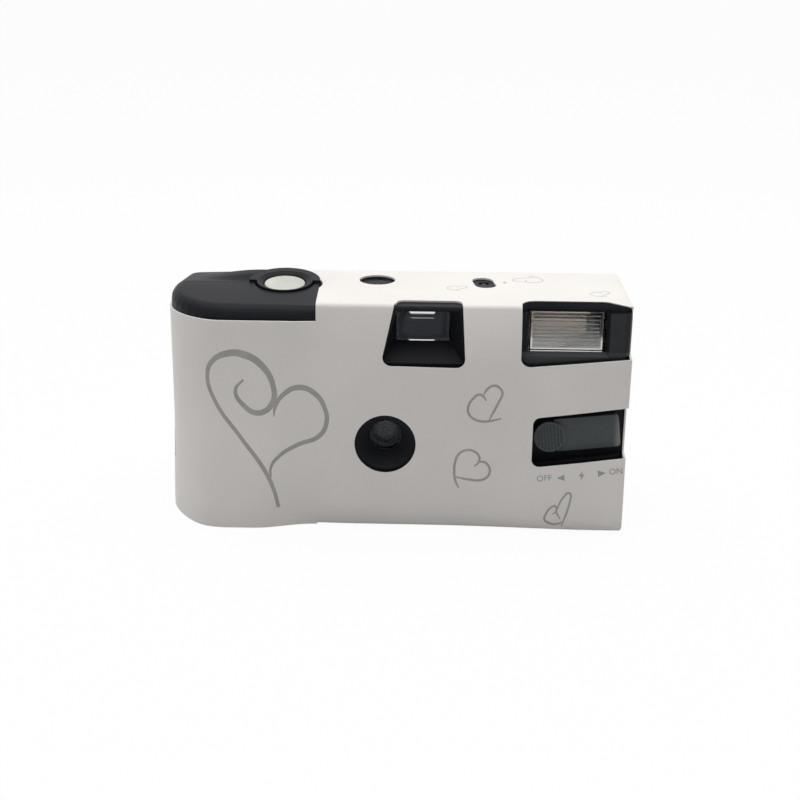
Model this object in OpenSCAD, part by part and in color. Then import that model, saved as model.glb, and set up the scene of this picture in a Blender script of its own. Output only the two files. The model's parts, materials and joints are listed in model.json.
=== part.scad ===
// Single-use film camera in a printed card sleeve, as an assembly of separate pieces.
// X runs to the right as the front is seen, Y from front to back and Z up.
// The origin is under the middle of the camera, on the surface that it stands on.
// A depth is measured backwards from the front face of the sleeve.

/* [Sleeve] */
// Width of the card sleeve
sleeve_w = 115; // [113:0.5:120]
// Height of the card sleeve
sleeve_h = 58.5; // [58:0.5:61]
// Depth of the card sleeve
sleeve_d = 32.7; // [32.5:0.1:34.5]
// Thickness of the card
card_t = 0.45; // [0.3:0.05:0.6]
// Slack between the card and the case in it
card_gap = 0.1; // [0.05:0.05:0.2]
// Radius of the round front left end
round_r = 15; // [13:0.5:16]
// Slant of the left end, which draws in towards the back
end_slant = 7.5; // [5:0.5:9]
// Radius of the rear left corner
back_r = 4.5; // [4:0.5:6]
// Radius of the folds along the top and the bottom
fold_r = 1.2; // [0.8:0.1:1.6]

/* [Case] */
// Wall thickness of the two covers
wall_t = 1.2; // [1:0.1:1.4]
// Depth of the seam between the two covers
split_d = 17.9; // [17:0.1:18.5]
// Width of the seam
seam_gap = 0.2; // [0.1:0.05:0.3]
// Radius of the upright edges of the covers at the right end
case_corner_r = 4; // [2:0.5:5]
// Width of the bare cap at the left end
cap_w = 37.5; // [36:0.5:38.5]
// Height of the cap's front wall that the sleeve leaves bare
cap_drop = 4.45; // [4:0.05:4.8]
// Height of the cap's crown above the sleeve
crown_rise = 0.2; // [0:0.05:0.5]
// Fall of the crown towards its front and back edges
crown_drop = 1.5; // [0.8:0.1:1.8]
// Share of that fall that the back edge loses towards the button
crown_twist = 0.8; // [0:0.05:1]
// Radius of the cap's top edge
cap_fillet = 2.6; // [1.5:0.1:3]

/* [Shutter button] */
// Radius of the button
button_r = 5.15; // [4.5:0.05:5.5]
// Travel of the button
button_travel = 1.2; // [0.8:0.1:1.4]
// Width of the dished groove round the button
button_groove = 1.3; // [0.8:0.1:1.5]
// Depth of the dished groove round the button
button_dish = 0.55; // [0.3:0.05:0.7]
// Radius of the raised boss behind the button
boss_r = 9; // [8.4:0.1:9.3]
// Tilt of the boss towards the front
boss_tilt = 5.5; // [3:0.5:7]
// Height of the boss above the crown
boss_rise = 0.65; // [0.4:0.05:0.8]

/* [Lens] */
// Place of the lens axis to the left of the middle
lens_left = 2.7; // [1:0.1:4]
// Radius of the lens hole in the sleeve
lens_hole_r = 7.65; // [7.2:0.05:8]
// Radius of the lens
lens_r = 4.3; // [3.8:0.1:4.6]
// Depth of the lens in its hood
lens_recess = 5.2; // [4.6:0.1:5.4]
// Radius of the aperture
aperture_r = 1.5; // [1:0.1:1.8]

/* [Viewfinder] */
// Width of the clear way through the finder
finder_w = 13.2; // [11:0.1:14]
// Height of the clear way through the finder
finder_h = 7.6; // [6.5:0.1:7.8]
// Place of the finder to the right of the lens
finder_right = 9; // [8.5:0.1:10.5]

/* [Flash] */
// Width of the flash window
flash_w = 18.7; // [16:0.1:19.5]
// Height of the flash window
flash_h = 10.1; // [9:0.1:10.3]
// Ribs on the back of the flash window
flash_ribs = 9; // [5:1:12]
// Radius of the flash tube
tube_r = 1.6; // [1.2:0.1:1.8]
// Travel of the flash switch
switch_travel = 7; // [5:0.5:7.5]
// Rise of the flash switch towards the right
switch_slant = 7; // [4:0.5:8]
// Radius of the switch's thumb pad
pad_r = 4; // [3.5:0.1:4.2]

/* [Film and battery] */
// Radius of the film cartridge
cartridge_r = 12.5; // [12.3:0.1:12.6]
// Height of the film cartridge between its outer faces
cartridge_h = 42.4; // [42:0.1:42.8]
// Width of the film
film_w = 35; // [34.5:0.1:35.2]
// Thickness of the film
film_t = 0.2; // [0.15:0.05:0.25]
// Picture width
gate_w = 36; // [34:0.5:36.5]
// Picture height
gate_h = 24; // [22:0.5:24.5]
// Radius of the film wound on the supply spool
roll_r = 8.3; // [7:0.1:8.6]
// Teeth on the film sprocket
sprocket_teeth = 8; // [8:1:8]
// How far the thumb wheel stands out of the back
wheel_proud = 0.5; // [0.2:0.1:0.8]
// Thickness of the thumb wheel's rim
wheel_t = 4; // [3.4:0.1:4.2]
// Grip teeth round the thumb wheel
wheel_teeth = 60; // [40:2:80]
// Radius of the battery
battery_r = 7.25; // [7:0.05:7.3]
// Length of the battery with its nub
battery_l = 50.5; // [49.5:0.5:51]
// Radius of the flash capacitor
capacitor_r = 6; // [5:0.1:6.3]

/* [Hidden] */
$fn = 64;
eps = 0.01;
far = 200;
fit = 0.1;
run_gap = 0.3;
arc_lap = 0.003;

// Overall places
x_left = -sleeve_w / 2;
x_right = sleeve_w / 2;
y_front = -(sleeve_d + wheel_proud) / 2;
y_back = y_front + sleeve_d;
y_seam = y_front + split_d;

// Case
case_in = card_t + card_gap;
wall_in = case_in + wall_t;
case_z0 = case_in;
case_z1 = sleeve_h - case_in;
foot_z = 0.15;
cap_x = x_left + cap_w;
cap_z = sleeve_h - cap_drop;
cap_in = card_t;
cap_lift = 0.05;
cap_roof = sleeve_h - 2.5;
crown_z = sleeve_h + crown_rise;
back_in_d = sleeve_d - wall_in;
roof_z = case_z1 - wall_t;

// Film
cart_gap = 0.25;
cart_d = back_in_d - cart_gap - cartridge_r;
wheel_r = sleeve_d + wheel_proud - cart_d;
wheel_gap = 0.35;
cart_from_arc = (cart_d - round_r) * sin(end_slant) - round_r + wall_in + wheel_r + wheel_gap;
cart_x = x_left + round_r + cart_from_arc / cos(end_slant);
cart_z0 = foot_z + wall_t + 0.15;
cart_cap_t = 0.9;
cart_lip = 14.2;
lens_x = -lens_left;
lens_z = cart_z0 + cartridge_h / 2;
film_d = cart_d + cartridge_r - 0.9;
gate_d = film_d - film_t / 2 - 0.05;
perf_pitch = 4.75;
perf_size = [1.98, 2.8];
perf_from_edge = 3.41;
chamber_gap = 0.3;
chamber_t = 1;
chamber_r = cartridge_r + chamber_gap;
supply_gap = 1.3;
supply_chamber_r = roll_r + supply_gap;
supply_x = x_right - wall_in - 0.4 - supply_chamber_r - chamber_t;
supply_d = film_d - film_t / 2 - 0.05 - roll_r;
supply_core_r = 4.5;

// Transport above the cartridge
deck_z0 = cart_z0 + cartridge_h + 0.4;
deck_t = 1.2;
deck_z1 = deck_z0 + deck_t;
wheel_z0 = deck_z1 + 0.4;
wheel_z1 = wheel_z0 + wheel_t;
ratchet_t = 1;
ratchet_r = 9.5;
ratchet_teeth = 24;
hub_r = 4;
drive_r = 2.4;

// Viewfinder
finder_x = lens_x + finder_right;
finder_z = sleeve_h - 7.1;
finder_d = 5.6;
finder_t = 1;
finder_end_d = back_in_d - 1.2;
finder_lens_t = 1.8;
finder_front_curve = 30;
finder_rear_curve = 45;
window_z = sleeve_h - 15.4;
window_top = roof_z + 0.15;
window_bottom_left = finder_x - 10.4;
window_bottom_right = finder_x + 10.5;
window_top_left = finder_x - 6.9;
window_top_right = finder_x + 9.5;
window_wrap = 4.1;

// Sprocket, counter and shutter levers
sprocket_r = sprocket_teeth * perf_pitch / (2 * PI);
sprocket_d = film_d - sprocket_r;
sprocket_z = lens_z + film_w / 2 - perf_from_edge;
sprocket_t = 1.6;
sprocket_tip = 0.85;
cam_r = 3.2;
shaft_r = 1.5;
counter_d = 22.5;
counter_r = 4.6;
dial_r = 8;
dial_t = 0.8;
disc_r = 8.6;
disc_t = 0.6;
dial_teeth = 28;
dial_x = finder_x - finder_w / 2 - finder_t - run_gap - disc_r;
dial_d = counter_d - 2.5;
sprocket_x = dial_x - 10.2;
counter_x = dial_x + 4.8;
dial_z0 = cap_roof - 0.4 - dial_t - disc_t;
finger_r = norm([dial_x - sprocket_x, dial_d - sprocket_d]) - dial_r - 0.2;
lever_x = lens_x - 11.8;
lever_d = 14;
lever_z0 = deck_z1 + 1.2;
lever_t = 1.5;
lever_post_r = 1.4;
pin_gap = 0.06;
strike = [3.5, -6.2];

// Button and catch
button_x = cap_x - 8.8;
button_d = split_d;
tongue_x = button_x - 4;
boss_z = crown_z + boss_rise;
bore_r = button_r + run_gap;
collar_land = 0.3;
collar_r = bore_r + button_groove + collar_land;
collar_gap = 0.5;
crown_bend_front = 1.2;
crown_bend_back = 2;
catch_z0 = wheel_z1 + button_travel + 0.45;
catch_t = 1;
catch_z1 = catch_z0 + catch_t;
catch_pivot_x = button_x + 7.3;
catch_w = 2.4;
flange_z1 = cap_roof - 0.2;
flange_t = 0.9;
tip_r = 1.2;

// Lens and shutter
hood_d = case_in + 0.05;
lens_d = lens_recess;
lens_t = 1.7;
aperture_d = lens_d + lens_t + 0.1;
blade_d = 7.75;
blade_t = 0.4;
board_d = 8.6;
board_t = 1.2;
tunnel_r = 3.2;
tunnel_t = 1;
blade_x = lens_x - 9.8;
blade_z = lens_z + 7.3;
strike_r = 6.7;

// Flash
flash_x = x_right - 6.5 - flash_w / 2;
flash_z = sleeve_h - 1.6 - flash_h / 2;
flash_d = 1.4;
flash_t = 1.4;
flash_cut_left = flash_x - flash_w / 2 - 2;
flash_cut_bottom = flash_z - flash_h / 2 - 3.4;
flash_cut_rise = 2.5;
flash_cut_r = 2.4;
flash_wrap = 5.2;
flash_top_r = 3.6;
flash_side = 4.2;
bezel_gap = 0.2;
bezel_in = 0.1;
bezel_corner = 2.4;
bezel_flare = 0.9;
reflector_t = 0.4;
reflector_depth = 8.4;
tube_d = flash_d + flash_t + 5.6;

// Flash switch
pad_x = x_right - 19;
pad_z = lens_z + 1.8;
switch_cut_left = pad_x - pad_r - 0.55;
switch_cut_low = 6.8;
switch_cut_high = 6.4;
switch_cut_wrap = 3.4;
plate_start = 1.2;
plate_low = 3.6;
plate_high = 5;
plate_end = x_right - 2.3;
plate_d = 1.2;
plate_t = 1.6;
pocket_d = plate_d + plate_t + run_gap;
pocket_t = 1;
tongue = [5, 2.6];
foot = [9, 6];
foot_t = 0.8;
foot_d = pocket_d + pocket_t + run_gap;

// Electrics
board_pcb_d = supply_d - supply_chamber_r - chamber_t - 0.35 - 1.5;
pcb_t = 1.5;
pcb_x0 = flash_x - flash_w / 2 - 5;
pcb_x1 = x_right - wall_in - 0.6;
pcb_z0 = case_z0 + wall_t + 1.8;
pcb_z1 = deck_z0 - 0.4;
battery_d = wall_in + 0.45 + battery_r;
battery_z = case_z0 + wall_t + 0.4 + battery_r;
battery_x0 = lens_x - 22.9;
battery_x1 = battery_x0 + battery_l;
nub_l = 1;
capacitor_x = finder_x + 14.2;
capacitor_d = wall_in + 1.8 + capacitor_r;
capacitor_z0 = battery_z + battery_r + 0.9;
capacitor_z1 = window_z - 2.4;
ready_x = finder_x + 15.6;
ready_d = 21;
lamp_r = 1.3;
ready_tilt = 8;
ready_r = 2.7;
ready_half = 2.1;

// Shared shapes

function unit(v) = v / norm(v);
function fy(d) = y_front + d;

// A polygon whose corners are rounded by true arcs, one radius each or one for all.
module rounded_polygon(pts, radii) {
  n = len(pts);
  difference() {
    polygon(pts);
    for (i = [0:n - 1])
      let (
        p = pts[i],
        to_a = unit(pts[(i + n - 1) % n] - p),
        to_b = unit(pts[(i + 1) % n] - p),
        r = is_list(radii) ? radii[i] : radii,
        half = acos(to_a * to_b) / 2,
        mid = unit(to_a + to_b),
        centre = p + mid * r / sin(half),
        start = p + to_a * r / tan(half),
        end = p + to_b * r / tan(half),
        spill = 1
      )
        if (r > 0) difference() {
            polygon([centre, start, start + (start - centre) * spill / r, p - mid * spill / sin(half),
              end + (end - centre) * spill / r, end]);
            translate(centre) circle(r + arc_lap);
          }
  }
}

// A rectangle in plan or in a face, from its low corner to its high corner.
module rounded_box2(low, high, r) {
  rounded_polygon([low, [high[0], low[1]], high, [low[0], high[1]]], r);
}

// A box from its low corner to its high corner.
module block(low, high) {
  translate(low) cube(high - low);
}

// Extrudes an outline drawn in X and Z along the depth.
module along_depth(d0, d1) {
  translate([0, fy(d1), 0]) rotate([90, 0, 0]) linear_extrude(d1 - d0) children();
}

// Extrudes an outline drawn in Y and Z along X.
module along_x(x0, x1) {
  translate([x0, 0, 0]) rotate([90, 0, 90]) linear_extrude(x1 - x0) children();
}

// A round bar along the depth, at a place in X and Z.
module rod_depth(x, z, d0, d1, r) {
  translate([x, fy(d0), z]) rotate([-90, 0, 0]) cylinder(r = r, h = d1 - d0);
}

// A round bar along Z, at a place in X and depth.
module rod_up(x, d, z0, z1, r) {
  translate([x, fy(d), z0]) cylinder(r = r, h = z1 - z0);
}

// A round bar along X, at a depth and height.
module rod_x(d, z, x0, x1, r) {
  translate([x0, fy(d), z]) rotate([0, 90, 0]) cylinder(r = r, h = x1 - x0);
}

// Everything to the right of the cap's edge, or to the left of it.
module right_of(x) {
  block([x, -far, -far], [far, far, far]);
}

module left_of(x) {
  block([-far, -far, -far], [x, far, far]);
}

// Place of the slanted left end, drawn in by a margin.
function slant_x(y, margin) = x_left + round_r - (round_r - margin) / cos(end_slant)
  + (y - y_front - round_r) * tan(end_slant);

// Plan outline of the body, drawn in by a margin.
module plan(margin, corner) {
  front = y_front + margin;
  back = y_back - margin;
  rounded_polygon([[slant_x(front, margin), front], [x_right - margin, front], [x_right - margin, back],
    [slant_x(back, margin), back]], [round_r - margin, corner, corner, back_r - margin]);
}

// A strip in plan or in a face that runs from one point to another, with round ends.
module strip(a, b, r) {
  side = [b[1] - a[1], a[0] - b[0]] / norm(b - a) * r;
  polygon([a + side, b + side, b - side, a - side]);
  translate(a) circle(r);
  translate(b) circle(r);
}

// A gear-like or knurled outline: teeth between a root and a tip radius, leaning forward by a share.
module toothed(root, tip, teeth, lean) {
  step = 360 / teeth;
  polygon([for (i = [0:teeth - 1]) each [
    root * [cos(i * step), sin(i * step)],
    tip * [cos((i + lean) * step), sin((i + lean) * step)]]]);
}

// One wire coil, swept as a tube of triangles along a helix about Z, with straight ends.
function coil_points(r, turns, height, ring) = [for (i = [0:ring * turns])
  [r * cos(360 * i / ring), r * sin(360 * i / ring), height * i / (ring * turns)]];

module coil(r, wire_r, turns, height) {
  ring = 12;
  sides = 6;
  path = coil_points(r, turns, height, ring);
  last = len(path) - 1;
  points = [for (i = [0:last])
    let (
      ahead = unit(path[min(i + 1, last)] - path[max(i - 1, 0)]),
      out = unit([path[i][0], path[i][1], 0]),
      up = cross(ahead, out)
    )
      for (k = [0:sides - 1]) path[i] + wire_r * (cos(360 * k / sides) * out + sin(360 * k / sides) * up)];
  walls = [for (i = [0:last - 1]) for (k = [0:sides - 1])
    let (
      a = i * sides + k,
      b = i * sides + (k + 1) % sides
    )
      each [[a, a + sides, b], [b, a + sides, b + sides]]];
  tail = last * sides;
  ends = [for (k = [1:sides - 2]) each [[0, k, k + 1], [tail, tail + k + 1, tail + k]]];
  polyhedron(points, concat(walls, ends));
}

// Outlines that the sleeve and the case share

function window_outline() = [[window_bottom_left, window_z], [window_bottom_right, window_z],
  [window_top_right, sleeve_h + 1], [window_top_left, sleeve_h + 1]];

// The flash cut-out on the front and on the top panel, drawn in by a margin.
function flash_front(margin) = [[flash_cut_left + margin, flash_cut_bottom + margin],
  [x_right + 1, flash_cut_bottom + flash_cut_rise + margin],
  [x_right + 1, sleeve_h + 1], [flash_cut_left + margin, sleeve_h + 1]];

function flash_top(margin) = [[flash_cut_left + margin, fy(-1)], [x_right - 0.4 - margin, fy(-1)],
  [x_right - 0.4 - margin, fy(0.6 - margin)], [x_right - 6 - margin, fy(flash_wrap - margin)],
  [flash_cut_left + margin, fy(flash_wrap - margin)]];

// A point on the slanted line of the flash switch: along it and across it from the thumb pad.
function on_switch(along, across) = [pad_x, pad_z]
  + along * [cos(switch_slant), sin(switch_slant)] + across * [-sin(switch_slant), cos(switch_slant)];

// Height of that line where it passes a place in X.
function switch_line(x, across) = pad_z + (x - pad_x) * tan(switch_slant) + across / cos(switch_slant);

// A rectangle along the switch's line, from its low corner to its high corner.
function switch_box(low, high) = [on_switch(low[0], low[1]), on_switch(high[0], low[1]),
  on_switch(high[0], high[1]), on_switch(low[0], high[1])];

function switch_outline(grow) = [
  [switch_cut_left - grow, switch_line(switch_cut_left - grow, -switch_cut_low - grow)],
  [x_right + 1, switch_line(x_right + 1, -switch_cut_low - grow)],
  [x_right + 1, switch_line(x_right + 1, switch_cut_high + grow)],
  [switch_cut_left - grow, switch_line(switch_cut_left - grow, switch_cut_high + grow)]];

// The card sleeve

module fold_profile(margin) {
  rounded_box2([y_front + margin, margin], [y_back - margin, sleeve_h - margin],
    fold_r - min(margin, fold_r - 0.2));
}

module sleeve_box(x0, x1) {
  difference() {
    along_x(x0, x1) fold_profile(0);
    along_x(x0 - 1, min(x1 + 1, x_right - card_t)) fold_profile(card_t);
  }
}

module sleeve_cuts() {
  wheel_notch = 10.5;
  rod_depth(lens_x, lens_z, -1, card_t + 1, lens_hole_r);
  // finder window, over the fold and on to the top
  along_depth(-1, fold_r + 0.1) rounded_polygon(window_outline(), [2.2, 2.2, 0, 0]);
  translate([0, 0, sleeve_h - fold_r - 0.1]) linear_extrude(fold_r + 1)
    rounded_box2([window_top_left + 0.3, fy(-1)], [window_top_right, fy(window_wrap)], [0, 0, 2, 2]);
  // flash window, over the fold and round the right end
  along_depth(-1, fold_r + 0.1) rounded_polygon(flash_front(0), [flash_cut_r, 0, 0, 0]);
  translate([0, 0, sleeve_h - fold_r - 0.1]) linear_extrude(fold_r + 1)
    rounded_polygon(flash_top(0), [0, 0, 0, 3, flash_top_r]);
  intersection() {
    along_depth(-1, flash_side) polygon(flash_front(0));
    block([x_right - 2, -far, -far], [far, far, sleeve_h - fold_r]);
  }
  // switch window, round the right end
  along_depth(-1, card_t + 1) rounded_polygon(switch_outline(0), [2, 0, 0, 2]);
  intersection() {
    along_depth(-1, switch_cut_wrap) polygon(switch_outline(0));
    right_of(x_right - 2);
  }
  // frame counter and flash ready lamp
  rod_up(counter_x, counter_d, sleeve_h - card_t - 1, sleeve_h + 1, counter_r);
  translate([ready_x, fy(ready_d), sleeve_h - card_t - 1]) rotate(ready_tilt) linear_extrude(3)
    strip([0, -ready_half], [0, ready_half], ready_r);
  // eyepiece and thumb wheel at the back
  along_depth(sleeve_d - card_t - 1, sleeve_d + 1)
    rounded_box2([finder_x - 8, finder_z - 5.4], [finder_x + 8, finder_z + 5], 2);
  along_depth(sleeve_d - card_t - 1, sleeve_d + 1)
    rounded_box2([cart_x - wheel_notch, wheel_z0 - 2.5], [cart_x + wheel_notch, sleeve_h], [2, 2, 0, 0]);
}

module card_sleeve() {
  edge_x = cap_x + fit;
  color("whitesmoke") difference() {
    union() {
      // wall round the left end
      difference() {
        linear_extrude(cap_z) plan(0, 0.2);
        translate([0, 0, -1]) linear_extrude(cap_z + 2) plan(card_t, 0.2);
        right_of(edge_x);
      }
      // folded box to the right of the cap
      sleeve_box(edge_x, x_right);
      // tongue of the top panel behind the boss
      intersection() {
        sleeve_box(tongue_x, edge_x);
        block([-far, y_seam, cap_z - eps], [far, far, far]);
      }
    }
    rod_up(button_x, button_d, cap_z, sleeve_h + 1, boss_r + 0.6);
    sleeve_cuts();
  }
}

// The two covers

// Height of the crown, which falls nearly straight to the front.
// Behind the seam it falls in a curve, and less so near the button.
function crown(x, y) = let (
  ahead = pow(max(0, (y_seam - y) / (y_seam - y_front)), crown_bend_front),
  behind = pow(max(0, (y - y_seam) / (y_back - y_seam)), crown_bend_back),
  twist = crown_twist * min(1, (x - x_left) / (tongue_x - x_left))
) crown_z - crown_drop * (ahead + (1 - twist) * behind);

// Cap outline in plan, drawn in by a margin, as points round the left end and along the crown.
function cap_outline(margin) = let (
  m = cap_in + margin,
  fr = round_r - m,
  br = back_r - m,
  back_x = slant_x(y_back - back_r, back_r),
  turn = 180 - end_slant
) concat(
  [for (s = [0:0.1:1]) let (a = 270 + s * (turn - 270))
    [x_left + round_r + fr * cos(a), y_front + round_r + fr * sin(a)]],
  [[slant_x(y_seam, m), y_seam]],
  [for (s = [0:0.2:1]) let (a = turn + s * (90 - turn))
    [back_x + br * cos(a), y_back - back_r + br * sin(a)]],
  [[tongue_x, y_back - m]],
  [for (s = [0:0.125:1]) [cap_x, y_back - m + s * (y_front - y_back + 2 * m)]]);

module cap_block() {
  rings = [for (f = [0:15:90]) [for (p = cap_outline(cap_fillet * (1 - cos(f))))
    [p[0], p[1], max(crown(p[0], p[1]) - cap_fillet * (1 - sin(f)), cap_z + 2 * cap_lift)]]];
  foot_ring = [for (p = cap_outline(0)) [p[0], p[1], cap_z + cap_lift]];
  points = concat(foot_ring, [for (ring = rings) each ring]);
  hull() polyhedron(points, [for (i = [0:3:len(points) - 3]) [i, i + 1, i + 2]]);
}

// The tilted frame that the button's rim and top are drawn in, at a height above the rim.
module at_rim(z) {
  translate([button_x, y_seam, boss_z]) rotate([boss_tilt, 0, 0]) translate([0, 0, z]) children();
}

// Raised ground of the button: a collar ahead of the seam, and behind it a boss that meets the sleeve.
module boss() {
  depth = 2;
  at_rim(-depth) cylinder(r = collar_r + collar_gap / 2, h = depth);
  intersection() {
    at_rim(-depth) cylinder(r = boss_r, h = depth);
    block([-far, y_seam, -far], [far, far, far]);
  }
}

// Bore of the button, dished out at its rim.
module button_bore() {
  rod_up(button_x, button_d, cap_roof - 1, far, bore_r);
  at_rim(-2 * button_dish)
    cylinder(r1 = bore_r - button_groove, r2 = bore_r + 2 * button_groove, h = 3 * button_dish);
}

module case_shell() {
  difference() {
    union() {
      intersection() {
        translate([0, 0, case_z0]) linear_extrude(case_z1 - case_z0) plan(case_in, case_corner_r - case_in);
        along_x(cap_x, x_right) fold_profile(case_in);
      }
      intersection() {
        translate([0, 0, foot_z]) linear_extrude(cap_z + cap_lift - foot_z)
          plan(case_in, case_corner_r - case_in);
        left_of(cap_x);
      }
      difference() {
        cap_block();
        // place for the sleeve's tongue behind the boss
        difference() {
          block([tongue_x - fit, y_seam, cap_z + cap_lift - eps], [far, far, far]);
          rod_up(button_x, button_d, cap_z, far, boss_r + 0.2);
          along_x(-far, far) fold_profile(case_in);
        }
      }
      boss();
    }
    intersection() {
      translate([0, 0, case_z0 + wall_t]) linear_extrude(roof_z - case_z0 - wall_t)
        plan(wall_in, case_corner_r - case_in);
      right_of(cap_x);
    }
    intersection() {
      translate([0, 0, foot_z + wall_t]) linear_extrude(cap_roof - foot_z - wall_t)
        plan(wall_in, case_corner_r - case_in);
      left_of(cap_x + eps);
    }
    button_bore();
  }
}

// The seam runs across the cap and round the front of the button's collar, which the rear cover carries.
module front_half() {
  difference() {
    block([-far, -far, -far], [far, y_seam - seam_gap / 2, far]);
    rod_up(button_x, button_d, cap_roof - 1, far, collar_r + collar_gap);
  }
}

module rear_half() {
  block([-far, y_seam + seam_gap / 2, -far], [far, far, far]);
  rod_up(button_x, button_d, cap_roof - 1, far, collar_r);
}

// The funnel in front of the finder, as a solid between a wide mouth and a narrow throat.
module finder_funnel(grow, d0, d1) {
  mouth = [[window_bottom_left + 0.3 - grow, window_z + 0.3 - grow],
    [window_bottom_right - 0.3 + grow, window_z + 0.3 - grow],
    [window_top_right - 0.3 + grow, window_top], [window_top_left + 0.3 - grow, window_top]];
  half = [finder_w / 2 + grow, finder_h / 2 + grow];
  hull() {
    along_depth(d0, d0 + eps) polygon(mouth);
    along_depth(d1 - eps, d1) translate([finder_x, finder_z]) square(2 * half, center = true);
  }
}

module battery_saddle(x) {
  difference() {
    block([x, fy(wall_in) - eps, case_z0 + wall_t - eps], [x + 1.2, fy(split_d - 1), battery_z - 3]);
    rod_x(battery_d, battery_z, x - 1, x + 3, battery_r + fit);
  }
}

// Bezel that fills the flash cut-out, nearly flush with the card, with a rounded upright corner.
module flash_bezel() {
  difference() {
    intersection() {
      along_x(flash_cut_left, x_right) fold_profile(bezel_in);
      linear_extrude(sleeve_h)
        rounded_box2([flash_cut_left, fy(bezel_in)], [x_right - bezel_in, y_back], [0, bezel_corner, 0, 0]);
      union() {
        intersection() {
          along_depth(0, flash_side - bezel_gap)
            rounded_polygon(flash_front(bezel_gap), [flash_cut_r - bezel_gap, 0, 0, 0]);
          block([-far, -far, 0], [far, far, sleeve_h - fold_r - bezel_gap]);
        }
        translate([0, 0, roof_z]) linear_extrude(sleeve_h - roof_z)
          rounded_polygon(flash_top(bezel_gap), [0, 0, 0, 3, flash_top_r - bezel_gap]);
      }
    }
    linear_extrude(roof_z) plan(wall_in, case_corner_r - case_in);
  }
}

// Flare from the bezel's face down to the flash window.
module flare_cut() {
  size = [flash_w + 2 * fit, flash_h + 2 * fit];
  hull() {
    along_depth(0, eps) translate([flash_x, flash_z])
      square(size + 2 * bezel_flare * [1, 1], center = true);
    along_depth(flash_d, flash_d + eps) translate([flash_x, flash_z]) square(size, center = true);
  }
}

module switch_pocket() {
  difference() {
    along_depth(case_in + 0.3, pocket_d + pocket_t) polygon(switch_outline(1.2));
    along_depth(-1, pocket_d) rounded_polygon(switch_outline(0.25), [1.6, 0, 0, 1.6]);
    right_of(x_right - wall_in);
  }
}

module front_cover() {
  slot_gap = [run_gap, run_gap];
  color([0.13, 0.13, 0.14]) difference() {
    union() {
      intersection() {
        case_shell();
        front_half();
      }
      intersection() {
        finder_funnel(1, case_in + 0.3, finder_d);
        block([-far, -far, -far], [far, far, case_z1 - 0.1]);
      }
      switch_pocket();
      flash_bezel();
      for (x = [battery_x0 + 8, battery_x1 - 10])
        battery_saddle(x);
    }
    rod_depth(lens_x, lens_z, -1, wall_in + 1, lens_hole_r + 0.55);
    finder_funnel(0, case_in - 0.05, finder_d + eps);
    // flash window and the flash behind it
    flare_cut();
    block([flash_x - flash_w / 2 - fit, fy(-1), flash_z - flash_h / 2 - fit],
      [flash_x + flash_w / 2 + fit, fy(flash_d + flash_t + 1), flash_z + flash_h / 2 + fit]);
    // switch pocket, open to the right, and the slot for the switch's tongue
    along_depth(-1, pocket_d) rounded_polygon(switch_outline(0.25), [1.6, 0, 0, 1.6]);
    along_depth(0, pocket_d + pocket_t + 1)
      polygon(switch_box(-tongue / 2 - slot_gap, tongue / 2 + slot_gap + [switch_travel, 0]));
  }
}

module rear_cover() {
  slot = 9.2;
  scoop_r = 14;
  lip = 0.8;
  lip_w = 8;
  lip_reach = 3;
  lip_left = 12;
  lip_right = 30;
  floor_z = case_z0 + wall_t;
  color([0.13, 0.13, 0.14]) difference() {
    union() {
      intersection() {
        case_shell();
        rear_half();
      }
      // film pressure pad
      block([lens_x - gate_w / 2 + 1, fy(film_d + film_t / 2 + 0.25), lens_z - gate_h / 2],
        [lens_x + gate_w / 2 - 1, fy(back_in_d) + eps, lens_z + gate_h / 2]);
      // tongues that locate the rear cover in the front cover
      for (x = [lens_x - lip_left, lens_x + lip_right]) {
        block([x, fy(split_d - lip_reach), floor_z + 0.05],
          [x + lip_w, fy(split_d + lip_reach), floor_z + 0.05 + lip]);
        block([x, fy(split_d), floor_z - eps], [x + lip_w, fy(split_d + lip_reach), floor_z + 0.06]);
      }
    }
    // thumb wheel slot and its scoop
    block([cart_x - slot, fy(back_in_d - 1), wheel_z0 - 0.4],
      [cart_x + slot, fy(sleeve_d + 1), wheel_z1 + 0.4]);
    rod_x(sleeve_d - case_in - 0.7 + scoop_r, wheel_z0 + wheel_t / 2, cart_x - slot, cart_x + slot, scoop_r);
    // eyepiece
    along_depth(back_in_d - 1, sleeve_d + 1)
      rounded_box2([finder_x - 5, finder_z - 3.2], [finder_x + 5, finder_z + 3.2], 1);
    // frame counter and ready lamp holes
    rod_up(counter_x, counter_d, roof_z - 1, sleeve_h + 1, counter_r - 0.3);
    rod_up(ready_x, ready_d + 1, roof_z - 1, sleeve_h + 1, lamp_r + fit);
  }
}

// The chassis that carries the film and the mechanism

module chamber(x, d, r, z0, z1, open_d) {
  difference() {
    rod_up(x, d, z0, z1, r + chamber_t);
    rod_up(x, d, z0 - 1, z1 + 1, r);
    block([-far, fy(open_d), -far], [far, far, far]);
  }
}

// Light tunnel from the lens board to the film gate, as a solid, drawn out by a margin.
module tunnel(grow, d0, d1) {
  hull() {
    along_depth(d0, d0 + eps) translate([lens_x, lens_z]) square(2 * (tunnel_r + grow), center = true);
    along_depth(d1 - eps, d1) translate([lens_x, lens_z])
      square([gate_w + 2 * grow, gate_h + 2 * grow], center = true);
  }
}

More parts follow.
